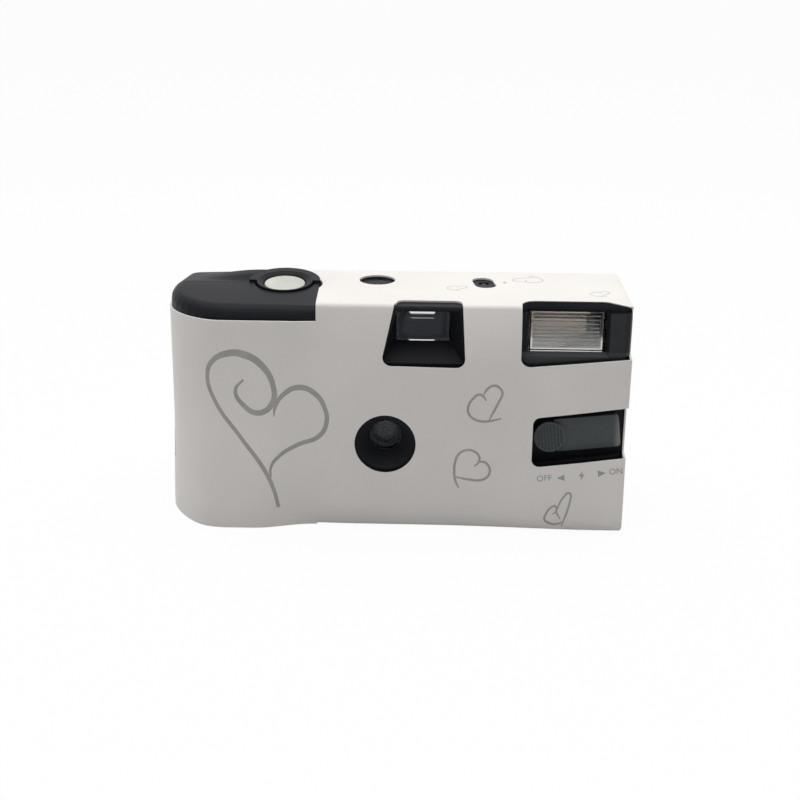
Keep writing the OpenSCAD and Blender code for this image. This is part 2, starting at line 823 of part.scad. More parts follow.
module deck() {
  edge = wall_in + run_gap;
  difference() {
    translate([0, 0, deck_z0]) linear_extrude(deck_t) plan(edge, 1);
    block([-far, fy(gate_d - 0.2), -far], [far, far, far]);
    block([lens_x + 9, fy(-1), -far], [far, fy(14.2), far]);
    block([supply_x + supply_chamber_r, -far, -far], [far, far, far]);
    block([blade_x - 4, fy(-1), -far], [lens_x + 10, fy(board_d), far]);
    rod_up(cart_x, cart_d, deck_z0 - 1, deck_z1 + 1, hub_r + run_gap);
    rod_up(sprocket_x, sprocket_d, deck_z0 - 1, deck_z1 + 1, shaft_r + pin_gap);
  }
}

module chassis() {
  plate_x0 = cart_x + cart_lip + 0.4;
  bearing_z = sprocket_z - sprocket_t / 2 - 0.3;
  pawl_at = pawl_post();
  color([0.17, 0.17, 0.18]) difference() {
    union() {
      chamber(cart_x, cart_d, chamber_r, cart_z0, deck_z0 + eps, cart_d + 4);
      chamber(supply_x, supply_d, supply_chamber_r, cart_z0 + 1.2, deck_z0 + eps, supply_d + 4);
      block([plate_x0, fy(gate_d - 1.2), lens_z - film_w / 2 - 1],
        [supply_x - supply_core_r, fy(gate_d), deck_z0 + eps]);
      block([lens_x - 14, fy(board_d), battery_z + battery_r + 0.4],
        [lens_x + 9.5, fy(board_d + board_t), deck_z0 + eps]);
      tunnel(tunnel_t, board_d + board_t - eps, gate_d - eps);
      rod_up(sprocket_x, sprocket_d, bearing_z - 4, bearing_z, 2.2);
      block([sprocket_x - 2.2, fy(sprocket_d), bearing_z - 4],
        [sprocket_x + 2.2, fy(gate_d - 0.5), bearing_z]);
      deck();
      // posts for the lever, the dial and the pawl
      rod_up(lever_x, lever_d, deck_z1 - eps, lever_z0 + lever_t + 2.4, lever_post_r);
      rod_up(lever_x, lever_d, deck_z1 - eps, lever_z0 - 0.1, lever_post_r + 0.9);
      rod_up(dial_x, dial_d, deck_z1 - eps, dial_z0 - 0.1, 1.8);
      rod_up(dial_x, dial_d, deck_z1 - eps, dial_z0 + dial_t + disc_t + 0.1, 1);
      rod_up(pawl_at[0], pawl_at[1], deck_z1 - eps, wheel_z1 + 0.25, 1.2);
      rod_up(pawl_at[0], pawl_at[1], deck_z1 - eps, wheel_z1 + ratchet_t + 0.4, 0.8);
      // stand that carries the catch's pivot
      for (d = [button_d - catch_w / 2 - 1.1, button_d + catch_w / 2 + 0.3])
        block([catch_pivot_x - 1.4, fy(d), deck_z1 - eps],
          [catch_pivot_x + 1.4, fy(d + 0.8), catch_z1 + 0.6]);
      rod_depth(catch_pivot_x, catch_z0 + catch_t / 2, button_d - catch_w / 2 - 1,
        button_d + catch_w / 2 + 1, 0.7);
      // pivot of the shutter blade
      rod_depth(blade_x, blade_z, blade_d - 0.5, board_d + eps, 0.8);
      rod_depth(blade_x, blade_z, blade_d + blade_t + 0.1, board_d + eps, 1.6);
      // ends of the battery bay
      for (x = [battery_x0 - 2.4, battery_x1 + 0.9])
        block([x, fy(battery_d - 3), battery_z + 2], [x + 1.2, fy(gate_d - 1), battery_z + battery_r - 1]);
    }
    tunnel(0, board_d + board_t - 2 * eps, gate_d + eps);
    block([lens_x - gate_w / 2, fy(gate_d - 2), lens_z - gate_h / 2],
      [lens_x + gate_w / 2, fy(gate_d + 1), lens_z + gate_h / 2]);
    rod_depth(lens_x, lens_z, board_d - 1, board_d + board_t + 1, tunnel_r - 0.2);
    // slot for the sprocket's wheel and the bearing below it
    rod_up(sprocket_x, sprocket_d, sprocket_z - sprocket_t / 2 - 0.3, sprocket_z + sprocket_t / 2 + 0.3,
      sprocket_r + sprocket_tip + 0.4);
    rod_up(sprocket_x, sprocket_d, bearing_z - 3, bearing_z + 1, 1 + pin_gap);
    // chambers cleared of the deck's edge, and the bore for the supply spool's upper pin
    rod_up(cart_x, cart_d, 0, deck_z0 - eps, chamber_r);
    rod_up(supply_x, supply_d, 0, deck_z0 - eps, supply_chamber_r);
    rod_up(supply_x, supply_d, deck_z0 - 1, deck_z1 + 1, 1.5 + pin_gap);
  }
}

// Lens, aperture and shutter

module lens_hood() {
  steps = 5;
  mouth = lens_hole_r - 0.25;
  throat = lens_r - 0.3;
  flange = lens_hole_r + 1.8;
  rear_d = aperture_d + 0.45;
  run = (lens_d - 0.3 - hood_d) / steps;
  color([0.12, 0.12, 0.13]) translate([lens_x, fy(0), lens_z]) rotate([-90, 0, 0]) difference() {
    union() {
      translate([0, 0, hood_d]) cylinder(r = lens_hole_r + 0.45, h = wall_in - hood_d + 1);
      translate([0, 0, wall_in + 0.05]) cylinder(r = flange, h = 1);
      translate([0, 0, wall_in + 1])
        cylinder(r1 = lens_hole_r + 0.2, r2 = lens_r + 1.3, h = lens_d - wall_in - 1);
      translate([0, 0, lens_d - eps]) cylinder(r = lens_r + 1.3, h = rear_d - lens_d);
    }
    // stepped cone, each step a short cone that narrows less than the whole
    for (i = [0:steps - 1])
      let (
        r0 = mouth + (throat - mouth) * i / steps,
        r1 = mouth + (throat - mouth) * (i + 1) / steps
      )
        translate([0, 0, hood_d + i * run - eps]) cylinder(r1 = r0, r2 = r1 + 0.18, h = run + 2 * eps);
    translate([0, 0, lens_d - 1]) cylinder(r = throat, h = 3);
    translate([0, 0, lens_d - 0.05]) cylinder(r = lens_r + 0.05, h = rear_d);
  }
}

// Meniscus: a round plate whose front bulges and whose back is hollow.
module taking_lens() {
  front_r = 9;
  back_curve_r = 7;
  color([0.8, 0.85, 0.9, 0.5]) translate([lens_x, fy(lens_d), lens_z]) rotate([-90, 0, 0]) difference() {
    intersection() {
      cylinder(r = lens_r, h = lens_t);
      translate([0, 0, front_r]) sphere(front_r);
    }
    translate([0, 0, lens_t + back_curve_r - 0.5]) sphere(back_curve_r);
  }
}

module aperture_plate() {
  color([0.1, 0.1, 0.1]) difference() {
    rod_depth(lens_x, lens_z, aperture_d, aperture_d + 0.35, lens_r);
    rod_depth(lens_x, lens_z, aperture_d - 1, aperture_d + 1, aperture_r);
  }
}

module shutter_blade() {
  color([0.2, 0.2, 0.21]) difference() {
    along_depth(blade_d, blade_d + blade_t) {
      strip([blade_x, blade_z], [lens_x, lens_z], 1.6);
      translate([lens_x, lens_z]) circle(3.4);
      translate([blade_x, blade_z]) circle(2.4);
      strip([blade_x, blade_z], [blade_x, blade_z + strike_r + 0.4], 0.8);
    }
    rod_depth(blade_x, blade_z, blade_d - 1, blade_d + 1, 0.8 + pin_gap);
  }
}

// Fine return spring of the blade, hooked to the board beside its pivot.
module blade_spring() {
  color("silver") translate([blade_x - 3.9, fy(board_d - 0.75), blade_z + 1]) coil(0.45, 0.12, 8, 5);
}

module drive_lever() {
  reach = norm([sprocket_x - lever_x, sprocket_d - lever_d]) - cam_r - 0.5;
  to_cam = unit([sprocket_x - lever_x, sprocket_d - lever_d]) * (reach - 1);
  tip_z = blade_z + strike_r - 0.4;
  color([0.75, 0.75, 0.72]) translate([lever_x, fy(lever_d), 0]) difference() {
    union() {
      translate([0, 0, lever_z0]) linear_extrude(lever_t) {
        circle(2.6);
        strip([0, 0], to_cam, 1);
        strip([0, 0], strike, 0.9);
      }
      translate([strike[0] - 0.3, strike[1] - 0.4, tip_z]) cube([1.2, 0.9, lever_z0 + lever_t - tip_z]);
    }
    translate([0, 0, lever_z0 - 1]) cylinder(r = lever_post_r + pin_gap, h = lever_t + 2);
  }
}

module drive_spring() {
  color("silver") translate([lever_x, fy(lever_d), lever_z0 + lever_t + 0.25]) coil(1.85, 0.2, 4, 2);
}

// Rocker between the button and the drive lever.
module release_catch() {
  z = catch_z0 + catch_t / 2;
  hook_x = lever_x - 2.2;
  near_d = button_d - catch_w / 2;
  back_d = button_d + catch_w / 2;
  color([0.7, 0.7, 0.68]) difference() {
    union() {
      block([button_x - 1.6, fy(near_d), catch_z0], [hook_x, fy(back_d), catch_z1]);
      rod_depth(catch_pivot_x, z, near_d, back_d, 1.3);
      block([hook_x - 1.2, fy(near_d), lever_z0 + lever_t + 0.6], [hook_x, fy(back_d), catch_z1]);
    }
    rod_depth(catch_pivot_x, z, button_d - catch_w, button_d + catch_w, 0.7 + pin_gap);
  }
}

// Leaf that lifts the rocker's button end.
module catch_spring() {
  leaf_w = 1.8;
  color("silver") block([button_x + 2.4, fy(button_d - leaf_w / 2), wheel_z1 + 0.2],
    [catch_pivot_x + 2.6, fy(button_d + leaf_w / 2), wheel_z1 + 0.4]);
}

module shutter_button() {
  stem_z = catch_z1 + 0.15;
  dome_r = 120;
  tool = 6 * button_r;
  color([0.82, 0.84, 0.82]) {
    difference() {
      rod_up(button_x, button_d, flange_z1 - eps, crown_z + 3, button_r);
      // tilted, slightly domed top
      at_rim(-button_dish) difference() {
        translate([0, 0, tool / 2 - 2]) cube(tool, center = true);
        translate([0, 0, -dome_r]) sphere(dome_r, $fn = 240);
      }
    }
    rod_up(button_x, button_d, flange_z1 - flange_t, flange_z1, button_r + 1);
    rod_up(button_x, button_d, stem_z + tip_r, flange_z1 - flange_t + eps, tip_r);
    translate([button_x, fy(button_d), stem_z + tip_r]) sphere(tip_r);
  }
}

// Film transport

function pawl_post() = [cart_x + 17.2 * cos(50), cart_d - 17.2 * sin(50)];

module advance_wheel() {
  fork_l = 4;
  fork_z = cart_z0 + cartridge_h - fork_l;
  color([0.14, 0.14, 0.15]) translate([cart_x, fy(cart_d), 0]) difference() {
    union() {
      translate([0, 0, wheel_z0]) linear_extrude(wheel_t) toothed(wheel_r - 0.6, wheel_r, wheel_teeth, 0.5);
      translate([0, 0, wheel_z1 - eps]) linear_extrude(ratchet_t + eps)
        toothed(ratchet_r - 0.9, ratchet_r, ratchet_teeth, 0.12);
      translate([0, 0, fork_z]) cylinder(r = drive_r, h = wheel_z0 - fork_z + eps);
    }
    // hollow under the rim and slot of the drive fork
    translate([0, 0, wheel_z0 - eps]) difference() {
      cylinder(r = wheel_r - 2.4, h = wheel_t - 1.4);
      cylinder(r = hub_r + 1.2, h = wheel_t);
    }
    translate([-drive_r / 4, -2 * drive_r, fork_z - 1]) cube([drive_r / 2, 4 * drive_r, fork_l]);
  }
}

module ratchet_pawl() {
  post = pawl_post();
  pawl_z = wheel_z1 + 0.3;
  tip = [cart_x + (ratchet_r + 0.85) * cos(20), cart_d - (ratchet_r + 0.85) * sin(20)];
  color([0.75, 0.75, 0.72]) difference() {
    translate([0, y_front, pawl_z]) linear_extrude(ratchet_t - 0.2) {
      translate(post) circle(1.9);
      strip(post, tip, 0.6);
    }
    rod_up(post[0], post[1], pawl_z - 1, pawl_z + 3, 0.8 + pin_gap);
  }
}

module film_cartridge() {
  lip_x = cart_x + cart_lip;
  wall = 0.4;
  z0 = cart_z0 + cart_cap_t;
  z1 = cart_z0 + cartridge_h - cart_cap_t;
  color([0.2, 0.21, 0.22]) difference() {
    union() {
      rod_up(cart_x, cart_d, z0, z1, cartridge_r);
      block([cart_x, fy(film_d - 0.9), z0 + 1], [lip_x, fy(film_d + 0.9), z1 - 1]);
    }
    rod_up(cart_x, cart_d, z0 - 1, z1 + 1, cartridge_r - wall);
    block([cart_x - 1, fy(film_d - 0.4), lens_z - film_w / 2 - 0.3],
      [lip_x + 1, fy(film_d + 0.4), lens_z + film_w / 2 + 0.3]);
  }
}

module cartridge_caps() {
  color([0.24, 0.24, 0.25]) for (z = [cart_z0, cart_z0 + cartridge_h - cart_cap_t])
    difference() {
      rod_up(cart_x, cart_d, z, z + cart_cap_t, cartridge_r);
      rod_up(cart_x, cart_d, z - 1, z + cart_cap_t + 1, hub_r + 0.15);
    }
}

module cartridge_spool() {
  z0 = cart_z0 + cart_cap_t + 0.2;
  z1 = cart_z0 + cartridge_h - cart_cap_t - 0.2;
  flange = cartridge_r - 1.3;
  color([0.15, 0.15, 0.15]) difference() {
    union() {
      rod_up(cart_x, cart_d, cart_z0 + 0.1, deck_z1 - 0.2, hub_r);
      rod_up(cart_x, cart_d, z0, z1, supply_core_r + 1);
      for (z = [z0, z1 - 0.8])
        rod_up(cart_x, cart_d, z, z + 0.8, flange);
    }
    rod_up(cart_x, cart_d, cart_z0 + cartridge_h - 6, far, drive_r + 0.1);
  }
}

// Film from the cartridge's lip, across the gate and on to the supply roll.
module film_strip() {
  x0 = cart_x + 2;
  holes = floor((supply_x - sprocket_x) / perf_pitch);
  before = floor((sprocket_x - x0) / perf_pitch);
  color([0.28, 0.2, 0.18]) along_depth(film_d - film_t / 2, film_d + film_t / 2) difference() {
    translate([x0, lens_z - film_w / 2]) square([supply_x - x0, film_w]);
    for (i = [1 - before:holes - 1], side = [-1, 1])
      translate([sprocket_x + i * perf_pitch, lens_z + side * (film_w / 2 - perf_from_edge)])
        square(perf_size, center = true);
  }
}

module film_roll() {
  color([0.3, 0.22, 0.2]) difference() {
    rod_up(supply_x, supply_d, lens_z - film_w / 2, lens_z + film_w / 2, roll_r);
    rod_up(supply_x, supply_d, 0, far, supply_core_r + 0.05);
  }
}

module supply_spool() {
  z0 = lens_z - film_w / 2 - 1.4;
  z1 = lens_z + film_w / 2 + 1.4;
  color([0.15, 0.15, 0.15]) {
    rod_up(supply_x, supply_d, z0, z1, supply_core_r);
    for (z = [z0, z1 - 1])
      rod_up(supply_x, supply_d, z, z + 1, roll_r + 0.5);
    rod_up(supply_x, supply_d, z1 - eps, deck_z1 - 0.1, 1.5);
    rod_up(supply_x, supply_d, case_z0 + wall_t + 0.1, z0 + eps, 1.5);
  }
}

module film_sprocket() {
  tooth_w = 1.1;
  foot_l = 3;
  notch_w = 3;
  finger_w = 0.7;
  z0 = sprocket_z - sprocket_t / 2;
  top = dial_z0 + dial_t - 0.2;
  color([0.85, 0.85, 0.82]) translate([sprocket_x, fy(sprocket_d), 0]) {
    translate([0, 0, z0]) cylinder(r = sprocket_r - 0.35, h = sprocket_t);
    for (i = [0:sprocket_teeth - 1])
      rotate(90 + 360 * i / sprocket_teeth) translate([sprocket_r - 1, -tooth_w / 2, z0])
        cube([1 + sprocket_tip, tooth_w, sprocket_t]);
    translate([0, 0, z0 - foot_l]) cylinder(r = 1, h = foot_l + eps);
    translate([0, 0, z0]) cylinder(r = shaft_r, h = lever_z0 + lever_t - z0);
    // cocking cam with its notch
    translate([0, 0, lever_z0]) linear_extrude(lever_t) difference() {
      circle(cam_r);
      translate([cam_r - 1.2, -notch_w / 2]) square([cam_r, notch_w]);
    }
    // shaft and finger that step the frame counter
    translate([0, 0, lever_z0 + lever_t - eps]) cylinder(r = finger_r - 0.6, h = top - lever_z0 - lever_t);
    translate([0, -finger_w / 2, dial_z0 + 0.1]) cube([finger_r, finger_w, dial_t - 0.3]);
  }
}

module counter_dial() {
  color([0.12, 0.12, 0.12]) translate([dial_x, fy(dial_d), dial_z0]) difference() {
    union() {
      linear_extrude(dial_t) toothed(dial_r - 0.5, dial_r, dial_teeth, 0.5);
      translate([0, 0, dial_t - eps]) cylinder(r = disc_r, h = disc_t + eps);
    }
    translate([0, 0, -1]) cylinder(r = 1 + pin_gap, h = 4);
  }
}

// Clear window over the counter, let into the rear cover.
module counter_window() {
  color([0.85, 0.88, 0.92, 0.4])
    rod_up(counter_x, counter_d, roof_z + 0.1, case_z1 - 0.1, counter_r - 0.35);
}

// Viewfinder

module finder_tube() {
  half = [finder_w / 2, finder_h / 2];
  low = finder_z - half[1] - finder_t;
  color([0.15, 0.15, 0.16]) difference() {
    union() {
      block([finder_x - half[0] - finder_t, fy(finder_d + 0.1), low],
        [finder_x + half[0] + finder_t, fy(finder_end_d), finder_z + half[1] + finder_t]);
      for (d = [finder_d + 6, finder_end_d - 4])
        block([finder_x - 4, fy(d), deck_z1 + 0.05], [finder_x + 4, fy(d + 1.5), low + eps]);
    }
    block([finder_x - half[0], fy(0), finder_z - half[1]],
      [finder_x + half[0], fy(sleeve_d), finder_z + half[1]]);
  }
}

module finder_lens(d, t, curve_r) {
  half = [finder_w / 2 - 0.05, finder_h / 2 - 0.05];
  color([0.8, 0.85, 0.9, 0.4]) difference() {
    block([finder_x - half[0], fy(d), finder_z - half[1]],
      [finder_x + half[0], fy(d + t), finder_z + half[1]]);
    translate([finder_x, fy(d + t - 0.7) + curve_r, finder_z]) sphere(curve_r, $fn = 240);
  }
}

module finder_front_lens() {
  finder_lens(finder_d + 0.3, finder_lens_t, finder_front_curve);
}

module finder_rear_lens() {
  finder_lens(finder_end_d - finder_lens_t - 0.2, finder_lens_t, finder_rear_curve);
}

// Flash

module flash_window() {
  half = [flash_w / 2, flash_h / 2];
  rib = (flash_h - 1) / flash_ribs;
  lip_d = wall_in + 0.05;
  color([0.85, 0.88, 0.92, 0.4]) {
    difference() {
      block([flash_x - half[0], fy(flash_d), flash_z - half[1]],
        [flash_x + half[0], fy(flash_d + flash_t), flash_z + half[1]]);
      // ribs that spread the light, cut into the back face
      for (i = [0:flash_ribs - 1])
        rod_x(flash_d + flash_t + 0.1, flash_z - half[1] + 0.5 + (i + 0.5) * rib,
          flash_x - half[0] + 1, flash_x + half[0] - 1, rib * 0.45, $fn = 24);
    }
    for (side = [-1, 1])
      block([flash_x + side * (half[0] + 0.4) - 0.4 - eps, fy(lip_d), flash_z - half[1] + 1],
        [flash_x + side * (half[0] + 0.4) + 0.4 + eps, fy(flash_d + flash_t), flash_z + half[1] - 1]);
  }
}

// Open trough with a curved back and two end walls, all of bent sheet.
function trough(grow) = [for (i = [-8:8])
  let (
    s = i / 8
  )
    [fy(flash_d + flash_t + 0.05 + reflector_depth * (1 - pow(s, 2))) + grow,
     flash_z + s * (flash_h / 2 - 0.55) + grow * s]];

module flash_reflector() {
  half = flash_w / 2 - 0.5;
  mouth = fy(flash_d + flash_t + 0.05);
  outer = flash_h / 2 - 0.15;
  inner = outer - reflector_t;
  color([0.85, 0.86, 0.88]) difference() {
    along_x(flash_x - half, flash_x + half)
      polygon(concat(trough(reflector_t), [[mouth, flash_z + outer], [mouth, flash_z - outer]]));
    along_x(flash_x - half + reflector_t, flash_x + half - reflector_t)
      polygon(concat(trough(0), [[mouth - 1, flash_z + inner], [mouth - 1, flash_z - inner]]));
    rod_x(tube_d, flash_z, flash_x - flash_w, flash_x + flash_w, tube_r + 0.1);
  }
}

module flash_tube() {
  half = flash_w / 2 + 1.2;
  color([0.9, 0.92, 0.95, 0.5]) {
    rod_x(tube_d, flash_z, flash_x - half, flash_x + half, tube_r);
    for (side = [-1, 1])
      rod_x(tube_d, flash_z, flash_x + side * half - 0.8, flash_x + side * half + 0.8, tube_r * 0.6);
  }
}

module flash_switch() {
  ribs = 8;
  rib_w = 0.5;
  nose = 1;
  plate_r = 1.6;
  color([0.27, 0.29, 0.29]) difference() {
    union() {
      along_depth(plate_d, plate_d + plate_t) {
        rounded_polygon(switch_box([plate_start, -plate_low], [plate_end - pad_x, plate_high]),
          [0, nose, nose, plate_r]);
        translate([pad_x, pad_z]) circle(pad_r);
      }
      rod_depth(pad_x, pad_z, plate_d - 0.8, plate_d + eps, pad_r);
      // tongue through the slot and the foot that keeps it there
      along_depth(plate_d + plate_t - eps, foot_d + eps) polygon(switch_box(-tongue / 2, tongue / 2));
      along_depth(foot_d, foot_d + foot_t) polygon(switch_box(-foot / 2, foot / 2));
    }
    // grip grooves across the pad
    for (i = [0:ribs - 1])
      let (
        along = (i - (ribs - 1) / 2) * (2 * pad_r - 1.4) / ribs,
        reach = sqrt(pow(pad_r - 0.5, 2) - pow(along, 2))
      )
        along_depth(plate_d - 1, plate_d - 0.4)
          polygon(switch_box([along - rib_w / 2, -reach], [along + rib_w / 2, reach]));
  }
}

module switch_contact() {
  z = pad_z - 1;
  leaf_w = 1.4;
  leaf_x = pad_x + 13;
  color("goldenrod") for (dz = [-1.6, 1.6])
    block([pad_x + 6, fy(board_pcb_d - 0.9), z + dz - leaf_w / 2],
      [leaf_x, fy(board_pcb_d - 0.6), z + dz + leaf_w / 2]);
  color("goldenrod") for (dz = [-1.6, 1.6])
    block([leaf_x - leaf_w, fy(board_pcb_d - 0.65), z + dz - leaf_w / 2],
      [leaf_x, fy(board_pcb_d - 0.02), z + dz + leaf_w / 2]);
}

module sync_contact() {
  color("goldenrod") for (x = [lens_x + 6.4, lens_x + 8])
    block([x, fy(board_d - 0.4), lens_z + 4], [x + 0.9, fy(board_d - 0.05), deck_z0 - 2]);
}

module flash_board() {
  color([0.2, 0.35, 0.2])
    block([pcb_x0, fy(board_pcb_d), pcb_z0], [pcb_x1, fy(board_pcb_d + pcb_t), pcb_z1]);
}

module flash_capacitor() {
  rim_h = 0.6;
  color([0.15, 0.15, 0.2]) {
    rod_up(capacitor_x, capacitor_d, capacitor_z0, capacitor_z1, capacitor_r);
    rod_up(capacitor_x, capacitor_d, capacitor_z1 - eps, capacitor_z1 + rim_h, capacitor_r - 1);
  }
}

module flash_transformer() {
  x = pcb_x0 + 3;
  z = pcb_z0 + 2;
  core = [8, 5.6, 8];
  color([0.75, 0.7, 0.4])
    block([x, fy(board_pcb_d - core[1]), z], [x + core[0], fy(board_pcb_d - 0.05), z + core[2]]);
}

module trigger_coil() {
  coil_r = 2.5;
  coil_l = 8;
  rim_r = coil_r + 0.05;
  rim_t = 1;
  color([0.5, 0.3, 0.2]) translate([pcb_x1 - 8, fy(board_pcb_d - rim_r - 0.05), pcb_z0 + 2]) {
    cylinder(r = coil_r, h = coil_l);
    for (z = [0, coil_l - rim_t])
      translate([0, 0, z]) cylinder(r = rim_r, h = rim_t);
  }
}

module ready_lamp() {
  base_r = 2.4;
  base_h = 4;
  neck_r = 1.9;
  color([0.95, 0.6, 0.3]) {
    rod_up(ready_x, ready_d + 1, deck_z1 + 0.05, deck_z1 + base_h, base_r);
    rod_up(ready_x, ready_d + 1, deck_z1 + base_h - eps, roof_z - 1, neck_r);
    rod_up(ready_x, ready_d + 1, roof_z - 1 - eps, case_z1 - lamp_r, lamp_r);
    translate([ready_x, fy(ready_d + 1), case_z1 - lamp_r]) sphere(lamp_r);
  }
}

// Battery

module battery() {
  color([0.45, 0.45, 0.2]) {
    rod_x(battery_d, battery_z, battery_x0, battery_x1 - nub_l, battery_r);
    rod_x(battery_d, battery_z, battery_x1 - nub_l - eps, battery_x1, 2.7);
  }
}

module battery_contacts() {
  half = 5;
  strip_t = 0.45;
  color("silver") for (x = [battery_x0 - 0.3 - strip_t, battery_x1 + 0.3])
    block([x, fy(battery_d - half), battery_z - half],
      [x + strip_t, fy(battery_d + half), battery_z + half]);
}

card_sleeve();
front_cover();
rear_cover();
chassis();
lens_hood();
taking_lens();
aperture_plate();
shutter_blade();
blade_spring();
drive_lever();
drive_spring();
release_catch();
catch_spring();
shutter_button();
advance_wheel();
ratchet_pawl();
film_cartridge();
cartridge_caps();
cartridge_spool();
film_strip();
film_roll();
supply_spool();
film_sprocket();
counter_dial();
counter_window();
finder_tube();
finder_front_lens();
finder_rear_lens();
flash_window();
flash_reflector();
flash_tube();
flash_switch();
switch_contact();
sync_contact();
flash_board();
flash_capacitor();
flash_transformer();
trigger_coil();
ready_lamp();
battery();
battery_contacts();
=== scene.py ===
import json
import math

import bpy
from mathutils import Matrix, Vector


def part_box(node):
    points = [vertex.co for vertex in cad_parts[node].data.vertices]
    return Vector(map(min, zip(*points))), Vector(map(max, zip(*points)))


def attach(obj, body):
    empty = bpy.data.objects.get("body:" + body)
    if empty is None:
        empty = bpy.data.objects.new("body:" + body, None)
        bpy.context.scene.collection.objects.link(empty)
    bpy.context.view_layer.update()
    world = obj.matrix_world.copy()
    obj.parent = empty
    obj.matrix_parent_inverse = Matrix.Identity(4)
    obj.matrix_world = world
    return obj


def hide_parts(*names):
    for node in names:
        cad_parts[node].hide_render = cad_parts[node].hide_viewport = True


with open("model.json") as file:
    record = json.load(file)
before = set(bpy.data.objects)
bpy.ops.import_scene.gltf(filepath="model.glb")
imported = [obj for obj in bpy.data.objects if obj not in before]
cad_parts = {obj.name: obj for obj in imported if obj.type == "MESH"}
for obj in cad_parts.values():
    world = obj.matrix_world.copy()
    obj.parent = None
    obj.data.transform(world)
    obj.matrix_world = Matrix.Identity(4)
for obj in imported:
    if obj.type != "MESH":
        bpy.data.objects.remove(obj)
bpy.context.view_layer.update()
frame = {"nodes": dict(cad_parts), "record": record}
nodes = frame["nodes"]
mm = 0.001
scene = bpy.context.scene
print("frame loaded,", len(nodes), "nodes")


# Shader sockets that take plain maths

class Shade:
    def __init__(self, tree, socket=None):
        self.tree = tree
        self.socket = socket

    def node(self, kind, settings=None, values=None, out=0):
        made = self.tree.nodes.new(kind)
        for name, value in (settings or {}).items():
            if name == "stops":  # a ramp's own two stops are moved, the others are added
                for i, (place, colour) in enumerate(value):
                    stop = made.color_ramp.elements[i] if i < 2 else made.color_ramp.elements.new(place)
                    stop.position = place
                    stop.color = colour
            else:
                setattr(made, name, value)
        for name, value in (values or {}).items():
            if isinstance(value, Shade):
                self.tree.links.new(value.socket, made.inputs[name])
            else:
                made.inputs[name].default_value = value
        return Shade(self.tree, made.outputs[out] if made.outputs else None)

    def math(self, operation, *terms):
        return self.node("ShaderNodeMath", {"operation": operation}, dict(enumerate(terms)))

    def __add__(self, other):
        return self.math("ADD", self, other)

    def __radd__(self, other):
        return self.math("ADD", other, self)

    def __sub__(self, other):
        return self.math("SUBTRACT", self, other)

    def __rsub__(self, other):
        return self.math("SUBTRACT", other, self)

    def __mul__(self, other):
        return self.math("MULTIPLY", self, other)

    def __rmul__(self, other):
        return self.math("MULTIPLY", other, self)

    def clamp(self, low=0.0, high=1.0):
        return self.node("ShaderNodeClamp", None, {"Value": self, "Min": low, "Max": high})

    def step(self, low, high):
        return self.node("ShaderNodeMapRange", {"interpolation_type": "SMOOTHSTEP"},
                         {"Value": self, "From Min": low, "From Max": high})

    def mixColour(self, first, second):
        return self.node("ShaderNodeMix", {"data_type": "RGBA"},
                         {0: self, 6: first, 7: second}, out=2)

    def tones(self, colour, spread):  # from a darker to a paler tone of one colour
        return self.mixColour(rgba(scaled(colour, 1 - spread)), rgba(scaled(colour, 1 + spread)))

    def place(self):  # Object coordinates in millimetres
        spot = self.node("ShaderNodeTexCoord", out=3)
        return self.node("ShaderNodeVectorMath", {"operation": "SCALE"}, {0: spot, "Scale": 1 / mm})

    def axes(self, spot):
        split = self.node("ShaderNodeSeparateXYZ", None, {0: spot})
        return [Shade(self.tree, out) for out in split.socket.node.outputs]

    def attribute(self, name):
        return self.node("ShaderNodeAttribute", {"attribute_name": name}, out=2)

    def stretched(self, spot, factors):
        return self.node("ShaderNodeVectorMath", {"operation": "MULTIPLY"}, {0: spot, 1: factors})

    def noise(self, spot, size, detail=2.0, rough=0.5):
        return self.node("ShaderNodeTexNoise", None,
                         {"Vector": spot, "Scale": 1 / size, "Detail": detail, "Roughness": rough})

    def bump(self, height, depth, normal=None):
        values = {"Strength": 1.0, "Distance": depth * mm, "Height": height}
        if normal:
            values["Normal"] = normal
        return self.node("ShaderNodeBump", None, values)

    def surface(self, values):
        return self.node("ShaderNodeBsdfPrincipled", None, values)


def newMaterial(name):
    material = bpy.data.materials.new(name)
    material.use_nodes = True
    material.node_tree.nodes.clear()
    return material, Shade(material.node_tree)


def endMaterial(material, shade, surface):
    shade.node("ShaderNodeOutputMaterial", None, {"Surface": surface})
    return material


def rgba(colour):
    return (*colour, 1.0)


def scaled(colour, factor):
    return tuple(min(1.0, c * factor) for c in colour)


# Finishes

def pearlCard(name, colour=(0.875, 0.845, 0.81), core=(0.95, 0.94, 0.92)):
    material, shade = newMaterial(name)
    spot = shade.place()
    fibre = shade.noise(shade.stretched(spot, (1.0, 1.0, 0.45)), 0.35, 4.0, 0.65)
    cloud = shade.noise(spot, 22.0, 2.0)
    tone = (fibre * 0.35 + cloud * 0.65).step(0.3, 0.7)
    face = tone.mixColour(rgba(scaled(colour, 0.965)), rgba(scaled(colour, 1.02)))
    base = shade.attribute("cutEdge").mixColour(face, rgba(core))  # the card's white middle at a cut
    surface = shade.surface({"Base Color": base, "Roughness": 0.46 + fibre * 0.14,
                             "Specular IOR Level": 0.25, "Coat Weight": 0.06, "Coat Roughness": 0.35,
                             "Normal": shade.bump(fibre, 0.012)})
    return endMaterial(material, shade, surface)


def silverInk(name, colour=(0.375, 0.365, 0.35)):
    material, shade = newMaterial(name)
    spot = shade.place()
    grain = shade.noise(spot, 0.18, 3.0)
    wash = shade.noise(spot, 5.0, 2.0)
    base = (grain * 0.4 + wash * 0.6).step(0.3, 0.7).tones(colour, 0.1)
    surface = shade.surface({"Base Color": base, "Roughness": 0.38 + grain * 0.15, "Metallic": 0.15,
                             "Specular IOR Level": 0.4})
    return endMaterial(material, shade, surface)


